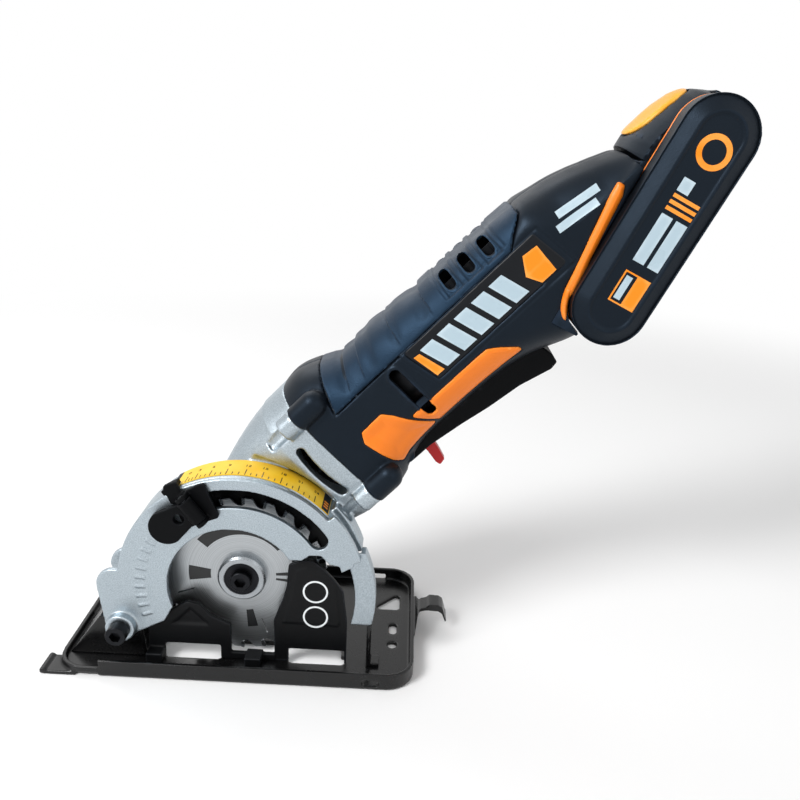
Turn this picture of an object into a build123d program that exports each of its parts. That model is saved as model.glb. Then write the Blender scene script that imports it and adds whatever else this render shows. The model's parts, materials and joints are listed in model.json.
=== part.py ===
from build123d import *
import os
from math import acos, cos, degrees, hypot, pi, radians, sin, sqrt, tan

# A small battery plunge saw. The blade turns about Y above the origin, the sole lies on z = 0,
# the handle rises towards +X and the open side of the guard faces -Y. Sizes are in millimetres.

# Clearances
run_gap = 0.3            # between bodies that pass each other
shaft_gap = 0.05         # radial, round turning shafts, pins and sliding stems
cut_over = 1.0           # how far a cutting shape runs past the face it opens

# Blade and arbor
blade_radius = 42.5
blade_thickness = 1.2
kerf = 1.8
tooth_count = 24
gullet_depth = 4.4
tooth_gap = 7.6
arbor_radius = 5.0
arbor_height = 45.0
flange_radius = 12.0
flange_thickness = 4.0
bolt_head_radius = 5.2
bolt_head_height = 3.6
bolt_disc_radius = 8.5
flange_ring = 3.2
flange_relief = 0.5
flange_chamfer = 1.0
spigot_gap = 0.2
flange_recess = 1.2
bolt_radius = 2.5
bolt_length = 14.0
bolt_edge = 0.8
hex_socket_radius = 2.9
hex_socket_depth = 3.0

# Plunge pivot
pivot_x = -57.0
pivot_z = 22.0
plunge_angle = 28.0
pivot_radius = 4.0
pivot_boss_radius = 8.5
pivot_collar_radius = 7.2
pivot_head_radius = 5.0
pivot_head_height = 6.0
pivot_nut_radius = 6.0
pivot_nut_height = 5.0

# Sole
sheet = 2.0
sole_front = -88.0
sole_rear = 87.0
sole_near = -26.0
sole_far = 74.0
sole_corner = 14.0
rim_height = 8.8
low_rim_height = 5.0
low_rim_end = -66.0
lip_near = 9.0
lip_far = 44.0
lip_reach = 18.0
lip_rise = 9.0
slot_front = -41.0
slot_rear = 50.0
slot_near = -6.9
slot_far = 5.0
window_near = -10.0
window_length = 28.0
window_front_x = -24.0
window_rear_x = 38.0
guide_slot_x = 66.0
guide_slot_width = 8.0
guide_notch_x = -72.0
guide_notch_length = 11.0
guide_notch_depth = 1.3
tab_front = -95.0
tab_far = -13.0
tab_curl = 1.6
slot_corner = 2.5
window_corner = 2.0
lip_corner = 0.8
guide_slot_height = 3.4
guide_hole_radius = 2.5
guide_hole_x = 75.8
guide_hole_y = 8.5
cutout_line = [(64.0, 41.0), (79.0, 41.0), (79.0, 58.0)]
long_slot_y = 22.6
long_slot_length = 9.0
long_slot_width = 4.2

# Pivot bracket
ear_near = -10.7
ear_far = 22.0
bracket_setback = 3.1
bracket_front = sole_front + sheet + bracket_setback
bracket_rear = -47.0
bracket_slope_end = 26.0
collar_front = -18.4
rivet_radius = 2.2
rivet_head_radius = 3.6
rivet_head_height = 1.2
spring_wire = 1.6
spring_turns = 4
spring_pitch = 2.1
coil_samples = 48        # points measured on each turn

# Guard
guard_radius = 58.0
guard_wall = 3.0
plate_front = -14.0
plate_back = -11.0
back_wall_near = 6.0
back_wall_far = 9.0
open_rim_front = -9.1
rim_join_angle = 65.0
rim_end_angle = 190.0
opening_radius = 32.0
opening_x = -2.0
depth_slot_radius = 48.0
depth_slot_width = 9.0
depth_slot_from = 36.0
depth_slot_to = 118.0
lobe_x = -60.0
lobe_z = 44.0
lobe_radius = 8.5
scale_thickness = 0.35
scale_near = -8.8
scale_far = 8.2
scale_from = 43.0
scale_to = 123.0
ridge_radius = 62.0
ridge_from = 17.0
ridge_to = 42.0
ridge_near = -3.0
sole_clearance = 0.6

# Shroud and rear guard on the sole
shroud_near = -9.6
shroud_far = -7.2
shroud_leg = 7.5
shroud_sill = 5.5
shroud_line = [(-46.0, sheet), (-46.0, 18.0), (-36.0, 27.5), (-26.0, 33.8), (-20.0, 32.5), (-14.5, 26.3),
               (-4.7, 21.8), (-4.7, shroud_sill), (17.0, shroud_sill), (16.6, 25.4), (21.0, 37.5),
               (23.0, 45.0), (24.0, 57.0), (30.6, 59.5), (38.0, 59.5), (45.0, 55.0), (50.0, 50.0),
               (53.0, 26.0), (53.0, sheet)]
foot_length = 8.0
foot_margin = 4.0
foot_places = [(-42.0, -12.0), (7.0, -12.0)]
shroud_screw_radius = 1.5
shroud_foot_height = 5.0
rear_guard_x = 2.5
rear_guard_z = 40.0
rear_guard_radius = 64.2
rear_guard_wall = 2.2
rear_guard_inner = 54.0
rear_guard_near = -10.7
rear_guard_far = -3.4
rear_guard_face = 1.3
rear_guard_low = 26.0
rear_guard_high = 66.0

# Depth stop
stop_angle = 113.0
slider_thickness = 2.2
slider_bar_width = 6.0
slider_bar_at = -6.0
slider_corner = 1.5
slider_base_width = 18.0
slider_base_length = 15.0
slider_base_at = 1.0
slider_arm_at = (9.5, 6.0)
slider_arm_reach = 10.0
slider_arm_width = 7.0
slider_inner = 39.0
slider_outer = 57.5
stem_gap = 0.1
clamp_nut_thickness = 0.9
clamp_nut_size = 6.0
pointer_height = 3.2
pointer_from = 4.0
pointer_to = 10.5
pointer_end = -7.0
lever_turn = 218.0
lever_length = 24.0
lever_width = 17.0
lever_thickness = 3.4
lever_hole_radius = 2.6
lever_hole_at = 8.0
lever_eye_radius = 3.6
lever_eye_length = 12.0
lever_pin_radius = 1.4
lug_radius = 2.8
lug_thickness = 2.2

# Gears
pressure_angle = 20.0
spur_module = 0.8
spindle_teeth = 25
idler_teeth = 16
bevel_module = 0.7
bevel_teeth = 30
pinion_teeth = 12
addendum = 0.8
dedendum = 1.1
tooth_slack = 0.12
bevel_face = 4.0
bevel_back = 3.4
bevel_hub_radius = 5.5
spur_near = 18.0
spur_width = 6.0

# Drive line
motor_y = 30.0
motor_offset = 12.0
spindle_radius = 4.0
spindle_tail_radius = 3.0
hub_radius = 5.5
spindle_tail_from = 25.0
spindle_far = 33.0
bearing_radius = 11.0
bearing_near = 9.5
bearing_width = 7.0
bush_wall = 1.5
spindle_bush_from = 26.0
idler_radius = 3.0
idler_near = 10.0
idler_far = 45.7
idler_bush_length = 5.0
tower_wall = 2.2
tower_far = 34.0
cover_near = 41.0
cover_far = 47.0
cover_radius = 14.6
cover_screw_radius = 1.2
cover_screw_ring = 13.1
cover_screw_count = 3

# Spindle lock
lock_ring = 7.0
lock_stem_radius = 1.5
lock_travel = 3.0
lock_rest_gap = 0.6
lock_boss_radius = 6.0
lock_boss_far = 39.0
lock_head_radius = 5.0
lock_head_height = 3.0

# Handle
handle_tilt = 47.0
wall = 3.0
skin = 1.5
neck_end = 78.0
collar_radius = 6.0
collar_from = 69.5
boss_end = 89.0
boss_radius = 6.6
boss_spread_t = 25.2
boss_spread_y = 27.0
gear_screw_radius = 2.0
gear_screw_head = 3.8
gear_screw_head_height = 3.5
gear_screw_tip = 88.0
screw_seat = 74.0
exhaust_at = 66.2
exhaust_bow = 1.6
exhaust_width = 4.4
exhaust_low = -2.8
exhaust_high = 24.8
neck_stations = [(18.0, 40.0, -12.0, 19.0, 16.0), (42.0, 47.0, -20.0, 24.0, 20.0),
                 (62.0, 50.0, -25.5, 29.0, 26.0)]

# Stations along the handle: distance, top, bottom, half width, corner radius
stations = [
    (78.0, 50.5, -25.5, 29.5, 27.0),
    (88.0, 51.0, -24.5, 29.5, 26.0),
    (97.0, 48.0, -21.0, 29.0, 25.0),
    (108.0, 43.5, -17.0, 28.5, 24.0),
    (128.0, 43.0, -15.5, 28.5, 23.0),
    (155.0, 41.0, -15.8, 28.5, 22.0),
    (180.0, 40.5, -20.0, 28.5, 20.0),
    (197.0, 39.5, -26.0, 28.5, 18.0),
    (218.0, 38.0, -26.0, 28.5, 16.0),
    (238.0, 35.5, -26.0, 28.0, 15.0),
    (254.0, 29.5, -26.0, 27.5, 14.0),
    (265.0, 23.5, -26.0, 26.5, 12.0),
]

# Motor
can_radius = 20.0
can_wall = 1.6
can_from = 80.0
can_to = 132.0
magnet_inner = 15.2
rotor_radius = 14.6
rotor_from = 88.0
rotor_to = 120.0
winding_length = 5.0
winding_radius = 12.5
commutator_radius = 6.0
commutator_length = 6.5
motor_shaft_radius = 2.5
motor_shaft_end = 141.0
nose_radius = 1.5
pinion_hub = 3.0
rotor_slots = 12
motor_bearing_radius = 8.0
motor_bearing_width = 5.0
front_bearing_from = 41.0
end_bell_length = 7.0
fan_radius = 21.5
fan_from = 62.0
fan_length = 9.0
fan_blades = 12
chamber_radius = 23.0
chamber_from = 50.0
brush_width = 4.0

# Paddle and lock-off tab
paddle_half_width = 11.0
paddle_slot_half = 12.4
paddle_pin_s = 99.0
paddle_pin_t = -14.5
paddle_pin_radius = 1.8
paddle_lug = 4.0
tab_half_width = 2.4
tab_pivot_s = 107.5
tab_pivot_t = -17.5
tab_pin_radius = 1.2
slot_from = 92.5
slot_to = 187.0
paddle_ceiling = -10.0
paddle_lug_radius = 4.2
paddle_edge = 1.2
paddle_line = [(94.0, -12.5), (94.0, -18.0), (96.5, -20.5), (110.0, -20.6), (128.8, -23.2), (144.0, -25.9),
               (162.0, -28.0), (178.3, -32.2), (182.5, -31.5), (183.5, -27.0), (182.0, -18.0), (179.0, -13.0)]
paddle_hollow_line = [(118.0, -5.0), (118.0, -18.5), (144.0, -22.5), (162.0, -24.5), (178.0, -27.5),
                      (180.0, -5.0)]
tab_slot_line = [(102.5, -5.0), (102.5, -40.0), (115.0, -40.0), (115.0, -5.0)]
tab_line = [(104.6, -14.6), (110.6, -14.6), (110.9, -20.0), (109.4, -27.0), (107.5, -33.4), (103.8, -34.2),
            (103.2, -31.5), (104.4, -24.0)]
tab_corner = 0.8
switch_half_width = 8.0
switch_corner = 1.5
switch_from = 144.0
switch_to = 174.0
switch_low = -4.0
switch_high = 18.0

# Shell details
shell_screw_places = [(146.0, 33.5), (206.0, 30.0), (240.0, 25.0), (193.5, -17.0)]
screw_post_radius = 3.4
shell_screw_radius = 1.5
shell_screw_depth = 12.0
shell_screw_seat = 12.0
shell_screw_head = 2.8
shell_screw_head_height = 2.4
panel_corner = 1.2
badge_depth = 0.5
side_vent = (126.5, 9.0)
side_vent_length = 29.0
side_vent_width = 5.6
vent_start = 20.0
grip_vents = [(173.0, 35.2), (184.2, 35.0), (195.5, 34.5)]
grip_vent_length = 8.6
groove_places = (103.0, 119.0, 135.0, 151.0)
groove_low = 30.0
groove_width = 5.0
groove_lean = 9.0
groove_inset = 0.5
grip_vent_width = 5.0

# Battery pack
pack_tilt = 64.5
pack_x = 180.5
pack_z = 225.5
pack_length = 114.0
pack_low = 57.0           # from the reference point down to the low end
pack_height = 34.0
pack_half_width = 37.0
pack_edge = 3.0
pack_wall = 2.2
ring_offset = 23.5
ring_width = 1.4
foot_gap = 0.4
foot_wall = 2.4
tower_half_neck = 13.0
tower_half_lip = 16.0
tower_front = -48.0
tower_rear = -6.0
lip_thickness = 2.0
cell_radius = 9.1
cell_length = 65.0
cell_count = 5
contact_thickness = 0.8
contact_pitch = 8.0
contact_tip = -37.0
nose_base = [(57.0, 8.0), (16.9, 8.0), (20.8, 29.3)]
nose_crown = [(24.5, 29.5), (40.0, 24.7), (51.0, 18.8)]
button_half_width = 19.0
button_line = [(46.0, 21.5), (40.0, 24.5), (27.0, 28.6)]
button_edge = 0.9
button_front = 27.0
button_rear = 46.0
button_low = 19.8
button_travel = 2.5
button_proud = 1.2
panel_depth = 0.8
terminal_from = -58.0
terminal_to = -49.5
terminal_height = 8.0
terminal_half_width = 14.0

low = (Align.CENTER, Align.CENTER, Align.MIN)
handle_dir = Vector(cos(radians(handle_tilt)), 0, sin(radians(handle_tilt)))
handle_up = Vector(-sin(radians(handle_tilt)), 0, cos(radians(handle_tilt)))
pack_dir = Vector(cos(radians(pack_tilt)), 0, sin(radians(pack_tilt)))
pack_up = Vector(-sin(radians(pack_tilt)), 0, cos(radians(pack_tilt)))
mid_plane = Plane(origin=(0, motor_y, 0), x_dir=(1, 0, 0), z_dir=(0, 1, 0))


def at_y(y):
    """The plane across Y at y, drawn in X and Z, whose normal is -Y."""
    return Plane.XZ.offset(-y)


def along_y(x, z, y):
    """A place on an axis along Y, from which a length runs to +Y."""
    return Plane(origin=(x, y, z), x_dir=(1, 0, 0), z_dir=(0, 1, 0))


def handle_at(s, t, y=motor_y):
    """The point s along the motor's direction and t above the arbor's own line."""
    return Vector(0, y, arbor_height) + handle_dir * s + handle_up * t


def handle_side(y):
    """The side view plane of the handle at y, drawn in s and t, whose normal is -Y."""
    return Plane(origin=handle_at(0, 0, y), x_dir=handle_dir, z_dir=(0, -1, 0))


def across(s, t=motor_offset, y=motor_y):
    """The plane square to the handle at s, drawn in Y and t, whose normal runs to the pack."""
    return Plane(origin=handle_at(s, t, y), x_dir=(0, 1, 0), z_dir=handle_dir)


def pack_side(y):
    """The side view plane of the pack at y, drawn along and above it, whose normal is -Y."""
    return Plane(origin=(pack_x, y, pack_z), x_dir=pack_dir, z_dir=(0, -1, 0))


def polar(radius, angle, x=0.0, z=arbor_height):
    """A point in X and Z at an angle from +X towards +Z about a centre."""
    return (x + radius * cos(radians(angle)), z + radius * sin(radians(angle)))


def plunged_line(x, height):
    """The head's height at x, at rest, that meets the given height when plunged fully."""
    turn = radians(plunge_angle)
    return pivot_z + (height - pivot_z) / cos(turn) + (x - pivot_x) * tan(turn)


def sector(radius, start, end, x=0.0, z=arbor_height):
    """Corner points of a wedge that covers the angles from start to end, past the radius."""
    steps = max(2, int((end - start) / 40) + 1)
    angles = [start + (end - start) * step / steps for step in range(steps + 1)]
    return [(x, z)] + [polar(radius * 1.4, angle, x, z) for angle in angles]


def involute_tooth(pitch, module, teeth, slack):
    """Outline of one tooth about +X, from the root up one flank and down the other."""
    base = pitch * cos(radians(pressure_angle))
    tip = pitch + addendum * module
    root = pitch - dedendum * module
    lean = tan(radians(pressure_angle)) - radians(pressure_angle)
    flank = []
    steps = 6
    for step in range(steps + 1):
        radius = root + (tip - root) * step / steps
        roll = acos(min(1.0, base / radius))
        half = pi / (2 * teeth) - slack / (2 * pitch) - (tan(roll) - roll - lean)
        flank.append((radius, half))
    inside = [(root * 0.9, flank[0][1])]
    upper = [(r * cos(a), r * sin(a)) for r, a in inside + flank]
    return upper + [(x, -y) for x, y in reversed(upper)]


def coil_path(plane, radius, pitch, turns, start_angle=0.0):
    """Points and directions at each quarter turn of a coil about the plane's normal."""
    nodes = []
    slope = pitch / (2 * pi * radius)
    for quarter in range(4 * turns + 1):
        angle = radians(start_angle) + quarter * pi / 2
        point = plane.from_local_coords((radius * cos(angle), radius * sin(angle), pitch * quarter / 4))
        ahead = plane.x_dir * -sin(angle) + plane.y_dir * cos(angle) + plane.z_dir * slope
        nodes.append((point, ahead.normalized()))
    return nodes


def biarc(first, second):
    """The joint, and the direction there, of two arcs that join two points along given ways."""
    (start, out), (end, into) = first, second
    chord = end - start
    both = out + into
    spare = 2 * (1 - out.dot(into))
    reach = (-chord.dot(both) + sqrt(chord.dot(both) ** 2 + spare * chord.dot(chord))) / spare
    near, far = start + out * reach, end - into * reach
    return (near + far) * 0.5, (far - near).normalized()


def coil(plane, radius, wire, pitch, turns, start_angle=0.0):
    """One unbroken wire wound about the plane's normal."""
    nodes = coil_path(plane, radius, pitch, turns, start_angle)
    with BuildPart() as wound:
        with BuildLine() as path:
            for first, second in zip(nodes, nodes[1:]):
                joint, ahead = biarc(first, second)
                TangentArc(first[0], joint, tangent=first[1])
                TangentArc(joint, second[0], tangent=ahead)
        with BuildSketch(Plane(origin=nodes[0][0], z_dir=nodes[0][1])):
            Circle(wire / 2)
        sweep(path=path.wires()[0])
    steps = coil_samples * turns
    points = [path.wires()[0] @ (step / steps) for step in range(steps + 1)]
    apart = [(first - second).length for place, first in enumerate(points)
             for second in points[place + coil_samples // 2:]]
    print("gap between turns", round(min(apart) - wire, 2))
    return wound.part


def barrel(inset):
    """The handle's barrel as one solid, with every wall moved in by inset."""
    with BuildPart() as solid:
        for place, (s, top, bottom, half, corner) in enumerate(stations):
            if place == 0 and inset:
                s -= cut_over
            if place == len(stations) - 1:
                s -= inset
            with BuildSketch(across(s, (top + bottom) / 2)):
                RectangleRounded(2 * (half - inset), top - bottom - 2 * inset, corner - inset)
        loft()
    return solid.part


barrel_outer = barrel(0.0)
barrel_skin = barrel(skin)
barrel_inner = barrel(wall)

# Places worked out from the driving sizes
spindle_pitch = spindle_teeth * spur_module / 2
idler_pitch = idler_teeth * spur_module / 2
spur_centres = spindle_pitch + idler_pitch
idler_s = sqrt(spur_centres ** 2 - motor_offset ** 2)
idler_at = handle_at(idler_s, motor_offset)
idler_x, idler_z = idler_at.X, idler_at.Z
mesh_angle = degrees(acos((idler_x) / spur_centres))
bevel_pitch = bevel_teeth * bevel_module / 2
pinion_pitch = pinion_teeth * bevel_module / 2
cone_length = hypot(bevel_pitch, pinion_pitch)
inner_cone = (cone_length - bevel_face) / cone_length
boss_places = [(motor_offset + t, motor_y + y) for t in (boss_spread_t, -boss_spread_t)
               for y in (boss_spread_y, -boss_spread_y)]
foot_low = pack_height / 2 + foot_gap
lip_low = foot_low + foot_wall + run_gap
lip_high = lip_low + lip_thickness
spindle_bush_length = spindle_far - spindle_bush_from
gear_wall = bearing_radius + tower_wall
spring_coil_radius = pivot_radius + spring_wire / 2 + 0.6
boss_near = ear_near + sheet + run_gap
boss_far = ear_far - spring_turns * spring_pitch - spring_wire - 2 * run_gap - 0.4
cap_near = ring_offset + ring_width / 2
cover_screw_places = [polar(cover_screw_ring, 60 + 360 / cover_screw_count * place, idler_x, idler_z)
                      for place in range(cover_screw_count)]
rivet_places = [(bracket_front + 8, ear_near + 9), (bracket_front + 8, ear_far - 7),
                (bracket_rear - 7, ear_near + 9), (bracket_rear - 7, ear_far - 7)]
screw_cone_low = 2 * shroud_screw_radius
screw_cone_high = shroud_screw_radius
shroud_limit = guard_radius - guard_wall - 0.7

# Sole plate: a pan with a folded rim, blade slot, sight windows and a curled rear lip
sole_middle = ((sole_front + sole_rear) / 2, (sole_near + sole_far) / 2)
sole_length = sole_rear - sole_front
sole_width = sole_far - sole_near
with BuildPart() as base_plate:
    with BuildSketch():
        with Locations(sole_middle):
            RectangleRounded(sole_length, sole_width, sole_corner)
    extrude(amount=rim_height)
    fillet(base_plate.faces().sort_by(Axis.Z)[0].outer_wire().edges(), sheet * 0.7)
    with BuildSketch(Plane.XY.offset(sheet)):
        with Locations(sole_middle):
            RectangleRounded(sole_length - 2 * sheet, sole_width - 2 * sheet, sole_corner - sheet)
    extrude(amount=rim_height, mode=Mode.SUBTRACT)
    with BuildSketch(Plane.XY.offset(low_rim_height)):
        with Locations((sole_front - cut_over, sole_middle[1])):
            Rectangle(low_rim_end - sole_front + cut_over, sole_width + 2 * cut_over,
                      align=(Align.MIN, Align.CENTER))
    extrude(amount=rim_height, mode=Mode.SUBTRACT)
    with BuildSketch(Plane.XY.offset(-cut_over)):
        with Locations(((slot_front + slot_rear) / 2, (slot_near + slot_far) / 2)):
            RectangleRounded(slot_rear - slot_front, slot_far - slot_near, slot_corner)
        with Locations((window_front_x, slot_near), (window_rear_x, slot_near)):
            RectangleRounded(window_length, 2 * (slot_near - window_near), window_corner)
        with Locations((guide_hole_x, guide_hole_y)):
            Circle(guide_hole_radius)
        with Locations((guide_hole_x, long_slot_y)):
            SlotOverall(long_slot_length, long_slot_width, rotation=90)
        with BuildLine():
            FilletPolyline(*cutout_line, radius=window_corner, close=True)
        make_face()
    extrude(amount=sheet + 2 * cut_over, mode=Mode.SUBTRACT)
    with BuildSketch(at_y(sole_far + cut_over)):
        with Locations((guide_slot_x, sheet + guide_slot_height / 2)):
            Rectangle(guide_slot_width, guide_slot_height)
    extrude(amount=sole_width + 2 * cut_over, mode=Mode.SUBTRACT)
    with BuildSketch():
        with Locations((tab_front + tab_curl, sole_near)):
            Rectangle(sole_front + sole_corner - tab_front - tab_curl, tab_far - sole_near,
                      align=(Align.MIN, Align.MIN))
    extrude(amount=sheet)
    with Locations(along_y(tab_front + tab_curl, tab_curl, sole_near)):
        Cylinder(tab_curl, tab_far - sole_near, align=low)
    with Locations((guide_notch_x, sole_near, 0), (guide_notch_x, sole_far, 0)):
        Box(guide_notch_length, 2 * guide_notch_depth, 2 * sheet, mode=Mode.SUBTRACT)
    with BuildSketch(at_y(lip_far)):
        with BuildLine():
            lip_mid = sole_rear + lip_reach * 0.45
            lip_end = sole_rear + lip_reach
            FilletPolyline((sole_rear - sheet, sheet), (sole_rear, sheet), (sole_rear, rim_height - sheet),
                           (lip_mid, rim_height - sheet), (lip_end, rim_height + lip_rise - sheet),
                           (lip_end - sheet, rim_height + lip_rise), (lip_mid - sheet, rim_height),
                           (sole_rear - sheet, rim_height), radius=lip_corner, close=True)
        make_face()
    extrude(amount=lip_far - lip_near)
    with Locations(*[(x, y, 0) for x, y in rivet_places]):
        Cylinder(rivet_radius, sheet, align=low, mode=Mode.SUBTRACT)
    with Locations(*[(x, y, 0) for x, y in foot_places]):
        Cone(screw_cone_low, screw_cone_high, sheet, align=low, mode=Mode.SUBTRACT)

# Pivot bracket: a floor riveted to the sole, two ears up to the pivot and a sloping front between them
ear_top = polar(pivot_boss_radius + 1.2, 125, pivot_x, pivot_z)
with BuildPart() as pivot_bracket:
    slope = Vector(ear_top[0] - bracket_front, ear_top[1] - sheet).normalized()
    with BuildSketch(at_y(ear_far + sheet)):
        with BuildLine():
            slope_top = Vector(bracket_front, sheet) + slope * bracket_slope_end
            out = Vector(-slope.Y, slope.X) * sheet
            Polyline((bracket_front, sheet), slope_top, slope_top + out, Vector(bracket_front, sheet) + out,
                     (bracket_front + out.X - out.Y, sheet), close=True)
        make_face()
    extrude(amount=ear_far + sheet - ear_near)
    with BuildSketch(Plane.XY.offset(sheet)):
        with Locations(((bracket_front + bracket_rear) / 2, (ear_near + ear_far + sheet) / 2)):
            Rectangle(bracket_rear - bracket_front, ear_far + sheet - ear_near)
    extrude(amount=sheet)
    for ear in (ear_near, ear_far):
        with BuildSketch(at_y(ear + sheet)):
            with BuildLine():
                Polyline((bracket_front, sheet), (bracket_rear, sheet),
                         polar(pivot_boss_radius, 25, pivot_x, pivot_z),
                         polar(pivot_boss_radius, 80, pivot_x, pivot_z), ear_top, close=True)
            make_face()
            with Locations((pivot_x, pivot_z)):
                Circle(pivot_boss_radius)
                Circle(pivot_radius, mode=Mode.SUBTRACT)
        extrude(amount=sheet)
    with BuildSketch(Plane.XY.offset(sheet)):
        with Locations(*rivet_places):
            Circle(rivet_radius)
    extrude(amount=sheet, mode=Mode.SUBTRACT)

with BuildPart() as bracket_rivets:
    with Locations(*[(x, y, 0) for x, y in rivet_places]):
        Cylinder(rivet_radius, 2 * sheet, align=low)
    with Locations(*[(x, y, 2 * sheet) for x, y in rivet_places]):
        Cylinder(rivet_head_radius, rivet_head_height, align=low)

# Pivot bolt with its nut
with BuildPart() as pivot_bolt:
    bolt_seat = collar_front - run_gap
    with Locations(along_y(pivot_x, pivot_z, bolt_seat - pivot_head_height)):
        Cylinder(pivot_head_radius, pivot_head_height, align=low)
    fillet(pivot_bolt.faces().sort_by(Axis.Y)[0].edges(), 0.6)
    with Locations(along_y(pivot_x, pivot_z, bolt_seat)):
        Cylinder(pivot_radius, ear_far + sheet + pivot_nut_height + cut_over - bolt_seat, align=low)
    with BuildSketch(at_y(bolt_seat - pivot_head_height / 2)):
        with Locations((pivot_x, pivot_z)):
            RegularPolygon(pivot_radius * 0.72, 6)
    extrude(amount=pivot_head_height, mode=Mode.SUBTRACT)

with BuildPart() as pivot_nut:
    with BuildSketch(at_y(ear_far + sheet + pivot_nut_height)):
        with Locations((pivot_x, pivot_z)):
            RegularPolygon(pivot_nut_radius, 6, major_radius=False)
            Circle(pivot_radius, mode=Mode.SUBTRACT)
    extrude(amount=pivot_nut_height)

# Torsion spring between the head's boss and the far ear
with BuildPart() as plunge_spring:
    add(coil(along_y(pivot_x, pivot_z, boss_far + run_gap + spring_wire / 2),
             spring_coil_radius, spring_wire, spring_pitch, spring_turns))

# Black shroud that stands on the sole in front of the blade, open where the arbor comes down
arbor_low = (pivot_x + hypot(pivot_x, arbor_height - pivot_z)
             * cos(acos(-pivot_x / hypot(pivot_x, arbor_height - pivot_z)) - radians(plunge_angle)))
arbor_low_z = (pivot_z + hypot(pivot_x, arbor_height - pivot_z)
               * sin(acos(-pivot_x / hypot(pivot_x, arbor_height - pivot_z)) - radians(plunge_angle)))
with BuildPart() as lower_shroud:
    with BuildSketch(at_y(shroud_far)):
        with BuildLine():
            Polyline(*shroud_line, close=True)
        make_face()
        with Locations((window_front_x, sheet), (window_rear_x, sheet)):
            Rectangle(window_length, shroud_leg, align=(Align.CENTER, Align.MIN), mode=Mode.SUBTRACT)
        with Locations((arbor_low, arbor_low_z)):
            Circle(shroud_limit, mode=Mode.INTERSECT)
    extrude(amount=shroud_far - shroud_near)
    for x, y in foot_places:
        with Locations((x, shroud_far, sheet)):
            Box(foot_length, shroud_far - y + foot_margin, shroud_foot_height,
                align=(Align.CENTER, Align.MAX, Align.MIN))
    with Locations(*[(x, y, sheet) for x, y in foot_places]):
        Cylinder(shroud_screw_radius, shroud_foot_height - 1, align=low, mode=Mode.SUBTRACT)

with BuildPart() as shroud_screws:
    with Locations(*[(x, y, 0) for x, y in foot_places]):
        Cone(screw_cone_low, screw_cone_high, sheet, align=low)
    with Locations(*[(x, y, sheet) for x, y in foot_places]):
        Cylinder(shroud_screw_radius, shroud_foot_height - 1, align=low)

# Silver rear guard behind the blade, and the black bracket that carries it
with BuildPart() as rear_guard:
    with BuildSketch(at_y(rear_guard_far)):
        with Locations((rear_guard_x, rear_guard_z)):
            Circle(rear_guard_radius)
            Circle(rear_guard_radius - rear_guard_wall, mode=Mode.SUBTRACT)
        with Locations((rear_guard_x, rear_guard_low)):
            Rectangle(2 * rear_guard_radius, rear_guard_high - rear_guard_low,
                      align=(Align.MIN, Align.MIN), mode=Mode.INTERSECT)
    extrude(amount=rear_guard_far - rear_guard_near)
    with BuildSketch(at_y(rear_guard_near + rear_guard_face)):
        with Locations((rear_guard_x, rear_guard_z)):
            Circle(rear_guard_radius)
            Circle(rear_guard_inner, mode=Mode.SUBTRACT)
        with Locations((rear_guard_x, rear_guard_low)):
            Rectangle(2 * rear_guard_radius, rear_guard_high - rear_guard_low,
                      align=(Align.MIN, Align.MIN), mode=Mode.INTERSECT)
    extrude(amount=rear_guard_face)

rear_guard_foot = rear_guard_x + sqrt(rear_guard_radius ** 2 - (rear_guard_z - rear_guard_low) ** 2)
with BuildPart() as guard_bracket:
    with BuildSketch(at_y(rear_guard_far)):
        with Locations((rear_guard_foot, sheet)):
            Rectangle(rear_guard_wall, rear_guard_low - sheet, align=(Align.MAX, Align.MIN))
            Rectangle(2 * rear_guard_wall, sheet, align=(Align.MIN, Align.MIN))
    extrude(amount=rear_guard_far - rear_guard_near)

# Raised land of the guard's rim beside the scale, drawn about the arbor
with BuildSketch() as ridge:
    with Locations((0, arbor_height)):
        Circle(ridge_radius)
        Circle(guard_radius - guard_wall, mode=Mode.SUBTRACT)
    Polygon(*sector(ridge_radius, ridge_from, ridge_to), align=None, mode=Mode.INTERSECT)

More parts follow.
